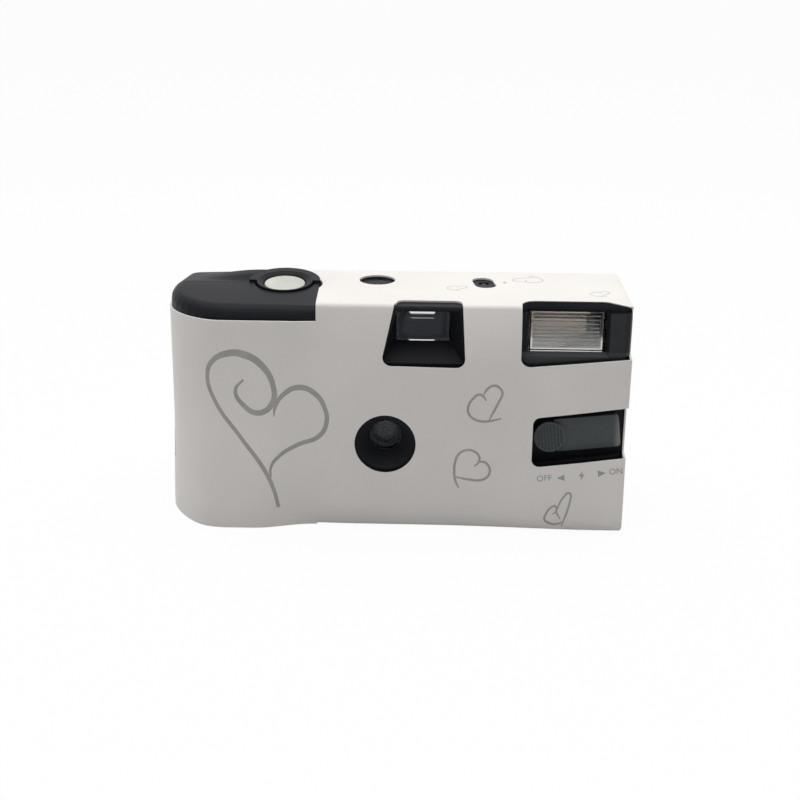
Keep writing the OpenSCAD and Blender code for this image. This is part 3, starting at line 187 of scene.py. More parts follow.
def mouldedPlastic(name, colour, rough=0.42, grain=0.22, depth=0.012, specular=0.35):
    material, shade = newMaterial(name)
    spot = shade.place()
    spark = shade.noise(spot, grain, 3.0, 0.6)  # spark-eroded mould face
    flow = shade.noise(spot, 9.0, 2.0)
    base = (spark * 0.5 + flow * 0.5).step(0.25, 0.75).tones(colour, 0.18)
    surface = shade.surface({"Base Color": base, "Roughness": rough - 0.06 + flow * 0.08 + spark * 0.06,
                             "Specular IOR Level": specular, "Normal": shade.bump(spark, depth)})
    return endMaterial(material, shade, surface)


def coverPlastic(name, colour, flash):
    # black moulding; the flash bezel's top edge loses its reflection (painted shade) and its slopes are
    # paler (painted light)
    material, shade = newMaterial(name)
    spot = shade.place()
    x, _, z = shade.axes(spot)
    spark = shade.noise(spot, 0.22, 3.0, 0.6)
    flow = shade.noise(spot, 9.0, 2.0)
    plain = (spark * 0.5 + flow * 0.5).step(0.25, 0.75).tones(colour, 0.18)
    left, right, low, sill, top = (flash[key] for key in ("left", "right", "low", "sill", "top"))
    under, over = flash["blur"]
    bezel = x.step(left, left + under + over)
    # the bezel's top edge, which gets painted shade by losing its reflection
    paintedShadeTop = bezel * z.step(top - under, top + over)
    # the bezel's slopes under the window and right of it, which are painted paler as painted light
    paintedLightBelow = bezel * z.step(low, low + under + over) * z.step(sill + over, sill - under)
    paintedLightBeside = x.step(right, right + under + over) * x.step(*flash["panelEnd"]) * flash["panelShare"]
    paintedLightBeside = paintedLightBeside * z.step(sill - under, sill + over) * z.step(top + over, top - under)
    base = (paintedLightBelow + paintedLightBeside).clamp().mixColour(plain, rgba(flash["pale"]))
    values = {"Base Color": base, "Roughness": 0.36 + flow * 0.08 + spark * 0.06,
              "Normal": shade.bump(spark, 0.012)}
    # on the top edge the surface without reflection is mixed in, as painted shade
    glossy = shade.surface({**values, "Specular IOR Level": 0.095})
    dull = shade.surface({**values, "Specular IOR Level": 0.0})
    surface = shade.node("ShaderNodeMixShader", None, {0: paintedShadeTop, 1: glossy, 2: dull})
    return endMaterial(material, shade, surface)


def switchPlastic(name, colour, pale, edge, fade=(-2.2, -0.1)):
    # grey moulding with a painted highlight that makes it paler at its free end
    material, shade = newMaterial(name)
    spot = shade.place()
    spark = shade.noise(spot, 0.3, 3.0, 0.6)
    # where the painted highlight lies, towards the free end
    end = shade.axes(spot)[0].step(*(edge + step for step in fade))
    plain = spark.step(0.25, 0.75).tones(colour, 0.12)
    base = (end * end).mixColour(plain, rgba(pale))
    surface = shade.surface({"Base Color": base, "Roughness": 0.36 + spark * 0.08,
                             "Specular IOR Level": 0.2, "Normal": shade.bump(spark, 0.006)})
    return endMaterial(material, shade, surface)


def clearPlastic(name, colour=(0.96, 0.975, 0.98), rough=0.03, bend=1.49, cover=1.0, gleam=(1.0, 1.0, 1.0)):
    material, shade = newMaterial(name)
    spot = shade.place()
    haze = shade.noise(spot, 3.0, 3.0)
    surface = shade.surface({"Base Color": haze.mixColour(rgba(scaled(colour, 0.97)), rgba(colour)),
                             "Roughness": rough + haze * 0.03, "IOR": bend, "Transmission Weight": 1.0,
                             "Specular Tint": rgba(gleam), "Alpha": cover})
    return endMaterial(material, shade, surface)


def brightMetal(name, colour, rough=0.16, along=(0.05, 1.0, 1.0), line=0.16, depth=0.004):
    material, shade = newMaterial(name)
    spot = shade.stretched(shade.place(), along)
    lines = shade.noise(spot, line, 3.0, 0.6)
    base = lines.step(0.3, 0.7).mixColour(rgba(scaled(colour, 0.9)), rgba(scaled(colour, 1.04)))
    surface = shade.surface({"Base Color": base, "Metallic": 1.0, "Roughness": rough + lines * 0.14,
                             "Normal": shade.bump(lines, depth)})
    return endMaterial(material, shade, surface)


def flashFoil(name, low, high, dimReflectionFrom=(-2.4, -1.2), paintedShadeFrom=(-3.6, -3.1)):
    # streaked foil with painted reflections: bright under the tube, dull brown above it, and painted shade
    # by the end wall on the right
    material, shade = newMaterial(name)
    spot = shade.place()
    x, _, z = shade.axes(spot)
    wide = shade.noise(shade.stretched(spot, (0.015, 0.1, 1.0)), 1.6, 1.0)
    fine = shade.noise(shade.stretched(spot, (0.03, 0.3, 1.0)), 0.45, 3.0, 0.6)
    streak = (wide * 0.6 + fine * 0.4).step(0.4, 0.6)
    middle = (low.z + high.z) / 2 / mm
    # the upper part gets a dim painted reflection, the lower part a bright one, and the upper right end
    # painted shade
    dimReflectionMask = z.step(*(middle + step for step in dimReflectionFrom))
    paintedWallShade = x.step(*(high.x / mm + step for step in paintedShadeFrom)) * dimReflectionMask
    paintedBrightReflection = fine.step(0.36, 0.46).mixColour(rgba((0.38, 0.37, 0.36)), rgba((1.0, 1.0, 1.0)))
    dull = streak.mixColour(rgba((0.19, 0.155, 0.13)), rgba((0.68, 0.57, 0.5)))
    base = paintedWallShade.mixColour(dimReflectionMask.mixColour(paintedBrightReflection, dull), rgba((0.05, 0.05, 0.05)))
    surface = shade.surface({"Base Color": base, "Metallic": 0.25, "Roughness": 0.22 + fine * 0.16})
    return endMaterial(material, shade, surface)


def filmBase(name, colour=(0.16, 0.1, 0.09)):
    material, shade = newMaterial(name)
    streak = shade.noise(shade.stretched(shade.place(), (0.05, 1.0, 1.0)), 0.8, 2.0)
    base = streak.tones(colour, 0.15)
    surface = shade.surface({"Base Color": base, "Roughness": 0.16 + streak * 0.12, "Coat Weight": 0.3})
    return endMaterial(material, shade, surface)


def circuitBoard(name, colour=(0.05, 0.16, 0.08)):
    material, shade = newMaterial(name)
    spot = shade.place()
    weave = shade.node("ShaderNodeTexBrick", None,
                       {"Vector": spot, "Scale": 1.0, "Mortar Size": 0.08, "Brick Width": 2.6,
                        "Row Height": 1.3}, out=1)
    base = weave.mixColour(rgba(colour), rgba(scaled(colour, 1.8)))
    surface = shade.surface({"Base Color": base, "Roughness": 0.32 + weave * 0.1, "Coat Weight": 0.2,
                             "Normal": shade.bump(weave, 0.03)})
    return endMaterial(material, shade, surface)


def woundWire(name, colour=(0.55, 0.3, 0.16)):
    material, shade = newMaterial(name)
    turns = shade.node("ShaderNodeTexWave", {"bands_direction": "Z"},
                       {"Vector": shade.place(), "Scale": 1.2, "Distortion": 0.4}, out=1)
    base = turns.mixColour(rgba(scaled(colour, 0.6)), rgba(scaled(colour, 1.1)))
    surface = shade.surface({"Base Color": base, "Metallic": 0.6, "Roughness": 0.42 - turns * 0.1,
                             "Normal": shade.bump(turns, 0.05)})
    return endMaterial(material, shade, surface)


def glowLamp(name, colour=(0.3, 0.17, 0.1)):
    material, shade = newMaterial(name)
    swirl = shade.noise(shade.place(), 1.2, 2.0)
    surface = shade.surface({"Base Color": swirl.mixColour(rgba(scaled(colour, 0.85)), rgba(colour)),
                             "Roughness": 0.2 + swirl * 0.1, "Transmission Weight": 0.6, "IOR": 1.25})
    return endMaterial(material, shade, surface)


caseColour = (0.0135, 0.0143, 0.0175)
finishes = {
    "card": pearlCard("pearlCard"),
    "case_black": mouldedPlastic("caseBlack", caseColour, specular=0.095),
    "inner_black": mouldedPlastic("innerBlack", (0.028, 0.0295, 0.034), rough=0.5, specular=0.08),
    # the second colour and the edge place the switch's painted highlight
    "switch_grey": switchPlastic("switchGrey", (0.088, 0.101, 0.102), (0.24, 0.24, 0.235), 56.0),
    "button_grey": mouldedPlastic("buttonGrey", (0.63, 0.64, 0.59), grain=0.4, depth=0.004, specular=0.15),
    "clear": clearPlastic("clearPlastic"),
    "lever_white": mouldedPlastic("leverWhite", (0.72, 0.72, 0.68), rough=0.45),
    "blade_black": mouldedPlastic("bladeBlack", (0.034, 0.036, 0.041), rough=0.5, grain=0.6, depth=0.002,
                                  specular=0.2),
    "spring_steel": brightMetal("springSteel", (0.62, 0.61, 0.59), along=(1.0, 1.0, 0.1)),
    "can_metal": mouldedPlastic("canLacquer", (0.11, 0.12, 0.15), rough=0.28, grain=0.6, depth=0.003),
    "film_base": filmBase("filmBase"),
    "reflector_metal": brightMetal("reflectorFoil", (0.86, 0.86, 0.87), rough=0.06),
    "board_green": circuitBoard("circuitBoard"),
    "coil_copper": woundWire("woundWire"),
    "contact_brass": brightMetal("contactBrass", (0.78, 0.6, 0.28), rough=0.22),
    "battery_jacket": mouldedPlastic("batteryJacket", (0.07, 0.07, 0.08), rough=0.25, grain=1.2,
                                     depth=0.002),
    "capacitor_sleeve": mouldedPlastic("capacitorSleeve", (0.03, 0.03, 0.05), rough=0.22, grain=1.0,
                                       depth=0.003),
    "lamp": glowLamp("glowLamp"),
}
inkFinish = silverInk("silverInk")
paleInk = silverInk("paleInk", (0.6, 0.59, 0.57))
dialWhite = mouldedPlastic("dialWhite", (0.7, 0.7, 0.68), rough=0.4, grain=0.15, depth=0.003)

slotOf = {name: node.data.materials[0].name for name, node in nodes.items()}
bodyOf = {name: body for body, names in frame["record"]["behaviour"]["bodies"].items() for name in names}
# places on the flash bezel of the cover's painted shade and painted light, and the painted light's colour
bezelLightPlace = dict(left=29.5, right=51.6, low=41.0, sill=46.9, top=57.0, blur=(0.2, 0.3),
                  panelEnd=(56.8, 55.1), panelShare=0.45, pale=(0.07, 0.074, 0.078))
ownFinish = {
    # black cover with painted shade and painted light on the flash bezel
    "front_cover": coverPlastic("coverBlack", caseColour, bezelLightPlace),
    "finder_tube": mouldedPlastic("finderFlock", (0.033, 0.036, 0.044), rough=0.75, grain=0.6, depth=0.002,
                                  specular=0.0),
    "finder_front_lens": clearPlastic("finderGlass", (0.85, 0.87, 0.88), gleam=(0.35, 0.37, 0.43)),
    "finder_rear_lens": clearPlastic("eyepieceGlass", (0.9, 0.91, 0.92), gleam=(0.4, 0.4, 0.4)),
    "taking_lens": clearPlastic("lensGlass", (0.62, 0.64, 0.68), bend=1.3),
    "counter_window": clearPlastic("counterClear", (0.7, 0.72, 0.74), bend=1.3, cover=0.3),
    "flash_window": clearPlastic("flashClear", (0.95, 0.95, 0.94), bend=1.2, gleam=(0.6, 0.6, 0.6)),
    # foil whose colours are painted reflections and painted shade
    "flash_reflector": flashFoil("flashFoil", *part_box("flash_reflector")),
}
for name, node in nodes.items():
    node.data.materials[0] = ownFinish.get(name, finishes[slotOf[name]])
print("finishes set:", len(finishes) + len(ownFinish))


# Modelling helpers

meshing = dict(weld=0.002, flat=math.radians(0.3), smooth=math.radians(32))


def only(piece):
    bpy.ops.object.select_all(action="DESELECT")
    piece.select_set(True)
    bpy.context.view_layer.objects.active = piece


def skinOf(nodeName, pieceName):
    # a copy of a node with its loose triangles merged and flat faces whole again
    piece = bpy.data.objects.new(pieceName, nodes[nodeName].data.copy())
    scene.collection.objects.link(piece)
    only(piece)
    bpy.ops.mesh.customdata_custom_splitnormals_clear()
    bpy.ops.object.mode_set(mode="EDIT")
    bpy.ops.mesh.select_all(action="SELECT")
    bpy.ops.mesh.remove_doubles(threshold=meshing["weld"] * mm)
    bpy.ops.mesh.dissolve_limited(angle_limit=meshing["flat"])
    bpy.ops.object.mode_set(mode="OBJECT")
    return piece


def softenEdges(piece, width, segments=2, angle=40):
    only(piece)
    bevel = piece.modifiers.new("edges", "BEVEL")
    bevel.width = width * mm
    bevel.segments = segments
    bevel.limit_method = "ANGLE"
    bevel.angle_limit = math.radians(angle)
    bevel.use_clamp_overlap = True
    bpy.ops.object.modifier_apply(modifier="edges")
    bpy.ops.object.shade_smooth_by_angle(angle=meshing["smooth"])


def standFor(piece, nodeName):
    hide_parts(nodeName)
    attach(piece, bodyOf[nodeName])


def between(value, low, high):
    share = min(1.0, max(0.0, (value - low) / (high - low)))
    return share * share * (3 - 2 * share)


def partWay(first, last, share):
    return first + (last - first) * share


# The photograph's viewpoint, which the prints and the camera share

viewpoint = dict(spot=(1.899, -356.189, 158.236), yaw=0.0030, pitch=0.3508, roll=0.0135, focal=65.615)


# Card sleeve: folded card that stands a little off the case and bellies out low on the left

sleeve = dict(
    front=-16.6, back=16.1, left=-57.5, right=57.5, top=58.5, card=0.4, roundRadius=15.0, capEdge=54.05,
    endBevel=0.45, endTouch=0.01, foldReach=1.21, grid=2.0, skin=0.6, endSkin=0.8, endKeep=3.3, topKeep=1.0,
    cut=dict(slack=0.02, level=0.05, upright=0.9, across=0.2, inset=1.5, endClear=2.0),
    belly=dict(out=3.2, right=(-20.0, -36.0), left=(-59.5, -47.5), height=(40.0, -2.0)),
    flare=dict(out=1.6, side=(12.0, 57.5), height=(30.0, -1.0)),
    lip=dict(out=0.7, left=(-53.5, -43.5), right=(-19.0, -26.0), height=(42.0, 56.0)),
    bow=dict(left=1.2, right=2.2, low=2.0, start=(-28.0, -8.0), turn=(-5.0, 18.0), topFade=13.0,
             rightKeep=0.85, rightFade=(43.5, 57.5)),
    tuck=dict(depth=1.5, rightShare=0.6, leftHeight=4.0, rightHeight=2.2, turn=(-15.0, 45.0)),
    wave=dict(out=0.1, alongX=(0.11, 0.6), alongZ=(0.13, 0.3), low=(2.0, 12.0), high=(54.0, 44.0)),
    ends=dict(leftOut=0.8, leftFoot=(28.0, 0.0), rightOut=1.0, frontFade=(-16.0, -6.6),
              backFade=(15.5, 6.1), topFade=(58.1, 55.0), lowFade=(0.5, 14.0)))


def pillowShift(s, x, z):
    # the even bow of the card right of the cap, tucked in along the lower fold
    bow, tuck, wave = s["bow"], s["tuck"], s["wave"]
    inner = between(x, *bow["start"]) * (1 - (1 - bow["rightKeep"]) * between(x, *bow["rightFade"]))
    most = partWay(bow["left"], bow["right"], between(x, *bow["turn"]))
    out = partWay(bow["low"], most, min(1.0, max(0.0, z / (s["top"] - bow["topFade"]))))
    drop = max(0.0, 1 - (s["top"] - s["topKeep"] - z) / bow["topFade"])
    aside = between(x, *tuck["turn"])
    height = partWay(tuck["leftHeight"], tuck["rightHeight"], aside)
    fold = tuck["depth"] * partWay(1.0, tuck["rightShare"], aside) * (1 - between(z, 0, height))
    (paceX, startX), (paceZ, startZ) = wave["alongX"], wave["alongZ"]
    ripple = math.sin(x * paceX + startX) * math.sin(z * paceZ + startZ)
    ripple *= between(z, *wave["low"]) * between(z, *wave["high"])
    return inner * ((1 - drop * drop) * out - fold + max(0.0, ripple) * wave["out"])


def cardShift(s, x, y, z):
    # how far forward the card stands at a place on the front
    keep = s["endKeep"] if x > s["right"] - s["endSkin"] else s["roundRadius"]
    deep = 1 - between(y, s["front"] + s["skin"], s["front"] + keep)
    if deep == 0 or z > s["top"] - s["topKeep"]:
        return 0.0
    belly, flare, lip = s["belly"], s["flare"], s["lip"]
    out = between(x, *belly["right"]) * between(x, *belly["left"]) * belly["out"]
    out *= between(z, *belly["height"])
    out += between(x, *flare["side"]) * between(z, *flare["height"]) * flare["out"]
    out += between(x, *lip["left"]) * between(x, *lip["right"]) * between(z, *lip["height"]) * lip["out"]
    return deep * (out + pillowShift(s, x, z))


def endShift(s, x, y, z):
    # how far the right end panel bows out, and the round left end spreads at its foot
    ends = s["ends"]
    bend = s["left"] + s["roundRadius"]
    if x < bend:
        return -between(x, bend, s["left"]) * between(z, *ends["leftFoot"]) * ends["leftOut"]
    if x < s["right"] - s["endSkin"]:
        return 0.0
    across = between(y, *ends["frontFade"]) * between(y, *ends["backFade"])
    return across * between(z, *ends["topFade"]) * between(z, *ends["lowFade"]) * ends["rightOut"]


def isCut(s, face):
    # a face as narrow as the card is thick, which lies across its panel
    x, y, z = face.center / mm
    out = face.normal
    cut = s["cut"]
    card = s["card"] + cut["slack"]
    if abs(z - s["capEdge"]) < cut["level"] and out.z > cut["upright"]:
        return True
    if s["top"] - card < z and cut["endClear"] < s["right"] - x:
        return abs(out.z) < cut["across"] and s["front"] + cut["inset"] < y < s["back"] - cut["inset"]
    if s["right"] - card < x:
        return abs(out.x) < cut["across"] and s["front"] + s["skin"] < y < s["back"] - s["skin"]
    if y < s["front"] + card or y > s["back"] - card:
        return abs(out.y) < cut["across"] and cut["inset"] < z < s["top"] - cut["inset"]
    return False


def makeSleeve(s):
    piece = skinOf("card_sleeve", "cardSleeve")
    bpy.ops.object.mode_set(mode="EDIT")
    bpy.ops.mesh.select_mode(type="EDGE")
    bpy.ops.mesh.select_all(action="DESELECT")
    bpy.ops.object.mode_set(mode="OBJECT")
    for edge in piece.data.edges:
        ends = [piece.data.vertices[i].co / mm for i in edge.vertices]
        atEnd = all(p.x > s["right"] - s["endTouch"] for p in ends)
        inward = max(min(p.y - s["front"], s["back"] - p.y, p.z, s["top"] - p.z) for p in ends)
        edge.select = atEnd and inward < s["foldReach"]
    bpy.ops.object.mode_set(mode="EDIT")
    bpy.ops.mesh.bevel(offset=s["endBevel"] * mm, segments=2, affect="EDGES")
    spans = (s["left"], s["right"]), (s["front"], s["back"]), (0.0, s["top"])
    for axis, (low, high) in zip(((1, 0, 0), (0, 1, 0), (0, 0, 1)), spans):
        for i in range(1, int((high - low) / s["grid"])):
            bpy.ops.mesh.select_all(action="SELECT")
            bpy.ops.mesh.bisect(plane_co=Vector(axis) * (low + i * s["grid"]) * mm, plane_no=axis)
    bpy.ops.object.mode_set(mode="OBJECT")
    cut = piece.data.attributes.new("cutEdge", "FLOAT", "FACE")
    for face in piece.data.polygons:
        cut.data[face.index].value = float(isCut(s, face))
    for vertex in piece.data.vertices:
        x, y, z = vertex.co / mm
        vertex.co.y -= cardShift(s, x, y, z) * mm
        vertex.co.x += endShift(s, x, y, z) * mm
    bpy.ops.object.shade_smooth_by_angle(angle=meshing["smooth"])
    standFor(piece, "card_sleeve")


makeSleeve(sleeve)
print("card sleeve shaped")


# Button and flash switch with the soft edges that moulding leaves

softEdges = dict(shutter_button=0.3, flash_switch=0.22)
switchPlate = dict(reach=2.0, longer=1.0, lower=0.9, padRadius=4.0, padRim=0.05, front=-15.45, back=-13.75)


def shapeSwitch(piece, s):
    # the plate hangs a little below the pad, and its free end reaches nearly to the corner of the case
    low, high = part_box("flash_switch")
    pad = [v.co / mm for v in piece.data.vertices if v.co.y / mm < s["front"]]
    padX = low.x / mm + s["padRadius"]
    padZ = (min(p.z for p in pad) + max(p.z for p in pad)) / 2
    for vertex in piece.data.vertices:
        x, y, z = vertex.co / mm
        if s["front"] < y < s["back"] and math.hypot(x - padX, z - padZ) > s["padRadius"] + s["padRim"]:
            vertex.co.z -= s["lower"] * between(x, padX, padX + s["padRadius"]) * mm
            vertex.co.x += s["longer"] * (x > high.x / mm - s["reach"]) * mm


def camelName(name):
    first, *others = name.split("_")
    return first + "".join(part.capitalize() for part in others)


for name, width in softEdges.items():
    piece = skinOf(name, camelName(name))
    if name == "flash_switch":
        shapeSwitch(piece, switchPlate)
    softenEdges(piece, width)
    standFor(piece, name)
print("moulded edges softened:", len(softEdges))


# Rise of the cap behind the seam, from the left up to the button's boss

rise = dict(left=-53.0, full=-35.5, right=-31.0, seam=1.3, seamGap=0.25, seamRun=5.0, back=16.1,
            backLow=13.0, backHigh=8.2, crown=58.7, fall=1.5, crest=60.1, twist=0.8, twistLeft=-57.5,
            twistRight=-32.8, boss=(-28.8, 1.3, 59.35), bossRadius=8.95, bossRim=1.0,
            tilt=math.radians(5.5), sunk=0.12, columns=60, rows=40, thick=0.5)


def makeRise(r):
    bpy.ops.object.select_all(action="DESELECT")
    bpy.ops.mesh.primitive_grid_add(x_subdivisions=r["columns"], y_subdivisions=r["rows"], size=1.0)
    piece = bpy.context.object
    piece.name = "capRise"
    bpy.ops.object.mode_set(mode="EDIT")
    bpy.ops.mesh.select_mode(type="VERT")
    bpy.ops.mesh.select_all(action="DESELECT")
    bpy.ops.object.mode_set(mode="OBJECT")
    bossX, bossY, bossZ = r["boss"]
    for vertex in piece.data.vertices:
        x = partWay(r["left"], r["right"], vertex.co.x + 0.5)
        y = partWay(r["seam"], r["backLow"], vertex.co.y + 0.5) + r["seamGap"]
        twist = r["twist"] * min(1.0, (x - r["twistLeft"]) / (r["twistRight"] - r["twistLeft"]))
        crown = r["crown"] - r["fall"] * (1 - twist) * ((y - r["seam"]) / (r["back"] - r["seam"])) ** 2
        ground = bossZ + (y - bossY) * math.tan(r["tilt"])
        lift = between(x, r["left"], r["full"]) * between(y, r["backLow"], r["backHigh"])
        lift *= between(y, r["seam"], r["seam"] + r["seamRun"])
        top = partWay(crown - r["sunk"], min(ground, r["crest"]), lift)
        fromBoss = math.hypot(x - bossX, y - bossY)
        if fromBoss < r["bossRadius"]:
            top = min(top, ground - r["sunk"])
        vertex.co = Vector((x, y, top)) * mm
        vertex.select = fromBoss < r["bossRadius"] - r["bossRim"]
    bpy.ops.object.mode_set(mode="EDIT")
    bpy.ops.mesh.delete(type="VERT")
    bpy.ops.object.mode_set(mode="OBJECT")
    solid = piece.modifiers.new("solid", "SOLIDIFY")
    solid.thickness = r["thick"] * mm
    solid.offset = -1.0
    bpy.ops.object.modifier_apply(modifier="solid")
    bpy.ops.object.shade_smooth_by_angle(angle=meshing["smooth"])
    piece.data.materials.append(finishes["case_black"])
    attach(piece, bodyOf["rear_cover"])


makeRise(rise)
print("cap's rise shaped")


# Printed hearts: tapered pen strokes laid on the card

def onFront(s, u, z, lift):
    # a place along the front, which runs on round the left end, lifted off the card
    bend = s["left"] + s["roundRadius"]
    middle = s["front"] + s["roundRadius"]
    radius = s["roundRadius"]
    if u < bend:
        turn = (bend - u) / radius
        out = Vector((-math.sin(turn), -math.cos(turn), 0))
        spot = Vector((bend, middle, z)) + out * radius
    else:
        out = Vector((0, -1, 0))
        spot = Vector((u, s["front"], z))
    shift = Vector((endShift(s, *spot), -cardShift(s, *spot), 0))
    return spot + shift + out * lift


penStroke = dict(thick=0.035, lift=0.012, tip=0.55, steps=10, sides=3, smooth=math.radians(40))


def drawStrokes(name, strokes, surface, ink=inkFinish):
    data = bpy.data.curves.new(name, "CURVE")
    data.dimensions = "3D"
    data.resolution_u = penStroke["steps"]
    data.bevel_depth = 1.0 * mm
    data.bevel_resolution = penStroke["sides"]
    data.use_fill_caps = True
    for stroke in strokes:
        spline = data.splines.new("BEZIER")
        spline.bezier_points.add(len(stroke) - 1)
        for point, (u, v, width) in zip(spline.bezier_points, stroke):
            point.co = (u * mm, v * mm, 0)
            point.radius = width / 2
            point.handle_left_type = point.handle_right_type = "AUTO"
    piece = bpy.data.objects.new(name, data)
    scene.collection.objects.link(piece)
    only(piece)
    bpy.ops.object.convert(target="MESH")
    deepest = max(v.co.z for v in piece.data.vertices) / mm
    for vertex in piece.data.vertices:
        u, v, h = vertex.co / mm
        vertex.co = surface(u, v, penStroke["lift"] + h / deepest * penStroke["thick"]) * mm
    bpy.ops.object.shade_smooth_by_angle(angle=penStroke["smooth"])
    piece.data.materials.clear()
    piece.data.materials.append(ink)
    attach(piece, "camera_case")


def even(points, width):
    # one width along the line, with finer tips
    tips = 0, len(points) - 1
    return [(u, v, width * (penStroke["tip"] if i in tips else 1.0)) for i, (u, v) in enumerate(points)]


bigHeart = dict(
    left=[(-37.9, 38.7, 0.5), (-39.9, 36.0, 0.9), (-38.2, 32.2, 1.2), (-34.3, 30.0, 1.5),
          (-30.9, 32.5, 1.4), (-30.6, 37.4, 1.3), (-33.2, 42.4, 1.7), (-37.2, 45.1, 1.9),
          (-41.6, 45.5, 1.7), (-45.6, 43.2, 1.2), (-46.9, 39.4, 1.0), (-45.0, 32.8, 0.95),
          (-39.0, 23.5, 1.0), (-33.0, 14.3, 1.1), (-30.9, 9.3, 1.0), (-29.7, 4.4, 0.9)],
    right=[(-30.5, 29.1, 0.3), (-30.2, 31.4, 0.8), (-28.0, 35.0, 1.2), (-24.2, 36.9, 1.45),
           (-20.2, 35.3, 1.35), (-17.7, 31.2, 1.1), (-17.4, 27.6, 1.1), (-19.1, 24.2, 1.2),
           (-24.9, 21.5, 1.1), (-29.4, 18.4, 0.9), (-31.5, 15.3, 0.7), (-31.6, 12.6, 0.5)])
upperHeart = dict(
    left=[(22.3, 34.1), (21.5, 35.2), (20.6, 35.7), (18.9, 34.5), (17.8, 32.0), (18.2, 30.3), (19.8, 29.0),
          (21.5, 28.6), (23.2, 28.7), (26.2, 29.4)],
    right=[(21.5, 35.4), (22.4, 37.1), (24.1, 38.1), (25.5, 37.5), (26.2, 36.1), (25.4, 33.8),
           (24.3, 31.4), (23.2, 29.0)])
lowerHeart = dict(
    left=[(16.1, 10.5), (15.2, 12.3), (14.8, 15.2), (15.0, 17.6), (15.9, 19.8), (17.7, 20.8), (19.5, 20.6),
          (20.9, 19.3), (21.0, 17.9), (19.8, 16.4)],
    right=[(20.9, 17.6), (22.2, 17.7), (23.4, 16.6), (23.8, 15.1), (23.1, 13.5), (21.4, 12.7),
           (18.3, 12.9), (15.2, 13.5)])
cornerHeart = dict(
    left=[(40.2, 3.5), (41.0, 4.2), (41.1, 5.2), (40.7, 5.8), (39.5, 5.2), (38.4, 3.4), (38.2, 2.0),
          (39.2, 1.3), (40.6, 1.0), (43.1, 1.5)],
    middle=[(41.0, 4.6), (41.4, 3.5), (42.2, 2.2)],
    right=[(41.1, 4.3), (41.9, 6.8), (42.9, 8.5), (43.9, 9.5), (44.5, 9.1), (44.5, 7.6), (44.1, 5.4),
           (43.5, 3.1), (42.5, 0.5)])


def frontFace(u, z, lift):
    # places were measured on a flat front, and are carried along the line of sight to the bowed card
    spot = Vector(viewpoint["spot"])
    share = cardShift(sleeve, u, sleeve["front"], z) / (sleeve["front"] - spot.y)
    return onFront(sleeve, partWay(u, spot.x, share), partWay(z, spot.z, share), lift)


def topFace(x, y, lift):
    return Vector((x, y, sleeve["top"] + lift))


smallHearts = dict(pen=0.62, cornerPen=0.52, topPen=0.34, endShift=(-85.3, 0.6), toMiddle=(-22.0, -33.0),
                   onTop=[(14.7, -0.6, 0.5, -0.5), (33.7, 7.8, 0.75, 2.3), (50.4, -4.4, 0.52, -0.3)])


def moved(strokes, du, dv):
    return [[(u + du, v + dv) for u, v in line] for line in strokes]


def turnedHeart(x, y, size, turn):
    # the upper heart about its own middle, turned and made small for the top
    cosTurn, sinTurn = math.cos(turn) * size, math.sin(turn) * size
    lines = []
    for line in moved(upperHeart.values(), *smallHearts["toMiddle"]):
        lines.append([(x + u * cosTurn - v * sinTurn, y + u * sinTurn + v * cosTurn) for u, v in line])
    return lines


drawStrokes("bigHeart", bigHeart.values(), frontFace)
for name, heart, pen in (("upperHeart", upperHeart, "pen"), ("lowerHeart", lowerHeart, "pen"),
                         ("cornerHeart", cornerHeart, "cornerPen")):
    drawStrokes(name, [even(line, smallHearts[pen]) for line in heart.values()], frontFace)
endHeart = moved(lowerHeart.values(), *smallHearts["endShift"])
drawStrokes("endHeart", [even(line, smallHearts["pen"]) for line in endHeart], frontFace)
for number, (x, y, size, turn) in enumerate(smallHearts["onTop"]):
    lines = [even(line, smallHearts["topPen"]) for line in turnedHeart(x, y, size, turn)]
    drawStrokes(f"topHeart{number + 1}", lines, topFace, paleInk)
print("hearts printed")


# Marks of the flash switch, and plain signs on the top

switchMarks = dict(height=1.62, narrow=0.98, slope=0.117, words=[("OFF", 37.6, 13.4), ("ON", 55.6, 15.55)],
                   arrows=[(41.8, 13.6, -1), (52.0, 15.0, 1)], arrowSize=1.0, arrowBack=0.9,
                   bolt=(47.0, 14.25))
topMarks = dict(bolt=(27.2, 4.9), boltTurn=math.pi)
printed = dict(lift=0.02, thick=0.03, sizeShare=1.4, steps=6)


def layMark(name, piece, place, turn, surface, ink, body="camera_case"):
    # a flat outline drawn about its own middle becomes a thin print at its place
    only(piece)
    bpy.ops.object.convert(target="MESH")
    cosTurn, sinTurn = math.cos(turn), math.sin(turn)
    for vertex in piece.data.vertices:
        a, b, h = vertex.co / mm
        vertex.co = surface(place[0] + a * cosTurn - b * sinTurn, place[1] + a * sinTurn + b * cosTurn,
                            printed["lift"] + h) * mm
    piece.name = name
    piece.data.materials.clear()
    piece.data.materials.append(ink)
    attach(piece, body)


def flatSign(outline):
    data = bpy.data.curves.new("sign", "CURVE")
    data.dimensions = "2D"
    data.fill_mode = "BOTH"
    data.extrude = printed["thick"] / 2 * mm
    spline = data.splines.new("POLY")
    spline.points.add(len(outline) - 1)
    for point, (a, b) in zip(spline.points, outline):
        point.co = (a * mm, b * mm, 0, 1)
    spline.use_cyclic_u = True
    piece = bpy.data.objects.new("sign", data)
    scene.collection.objects.link(piece)
    return piece


def wordMark(word, height, narrow=1.0):
    bpy.ops.object.select_all(action="DESELECT")
    bpy.ops.object.text_add()
    piece = bpy.context.object
    piece.data.body = word
    piece.data.size = height * printed["sizeShare"] * mm
    piece.data.extrude = printed["thick"] / 2 * mm
    piece.data.align_x, piece.data.align_y = "CENTER", "CENTER"
    piece.data.resolution_u = printed["steps"]
    bpy.ops.object.convert(target="MESH")
    for vertex in piece.data.vertices:
        vertex.co.x *= narrow
    return piece


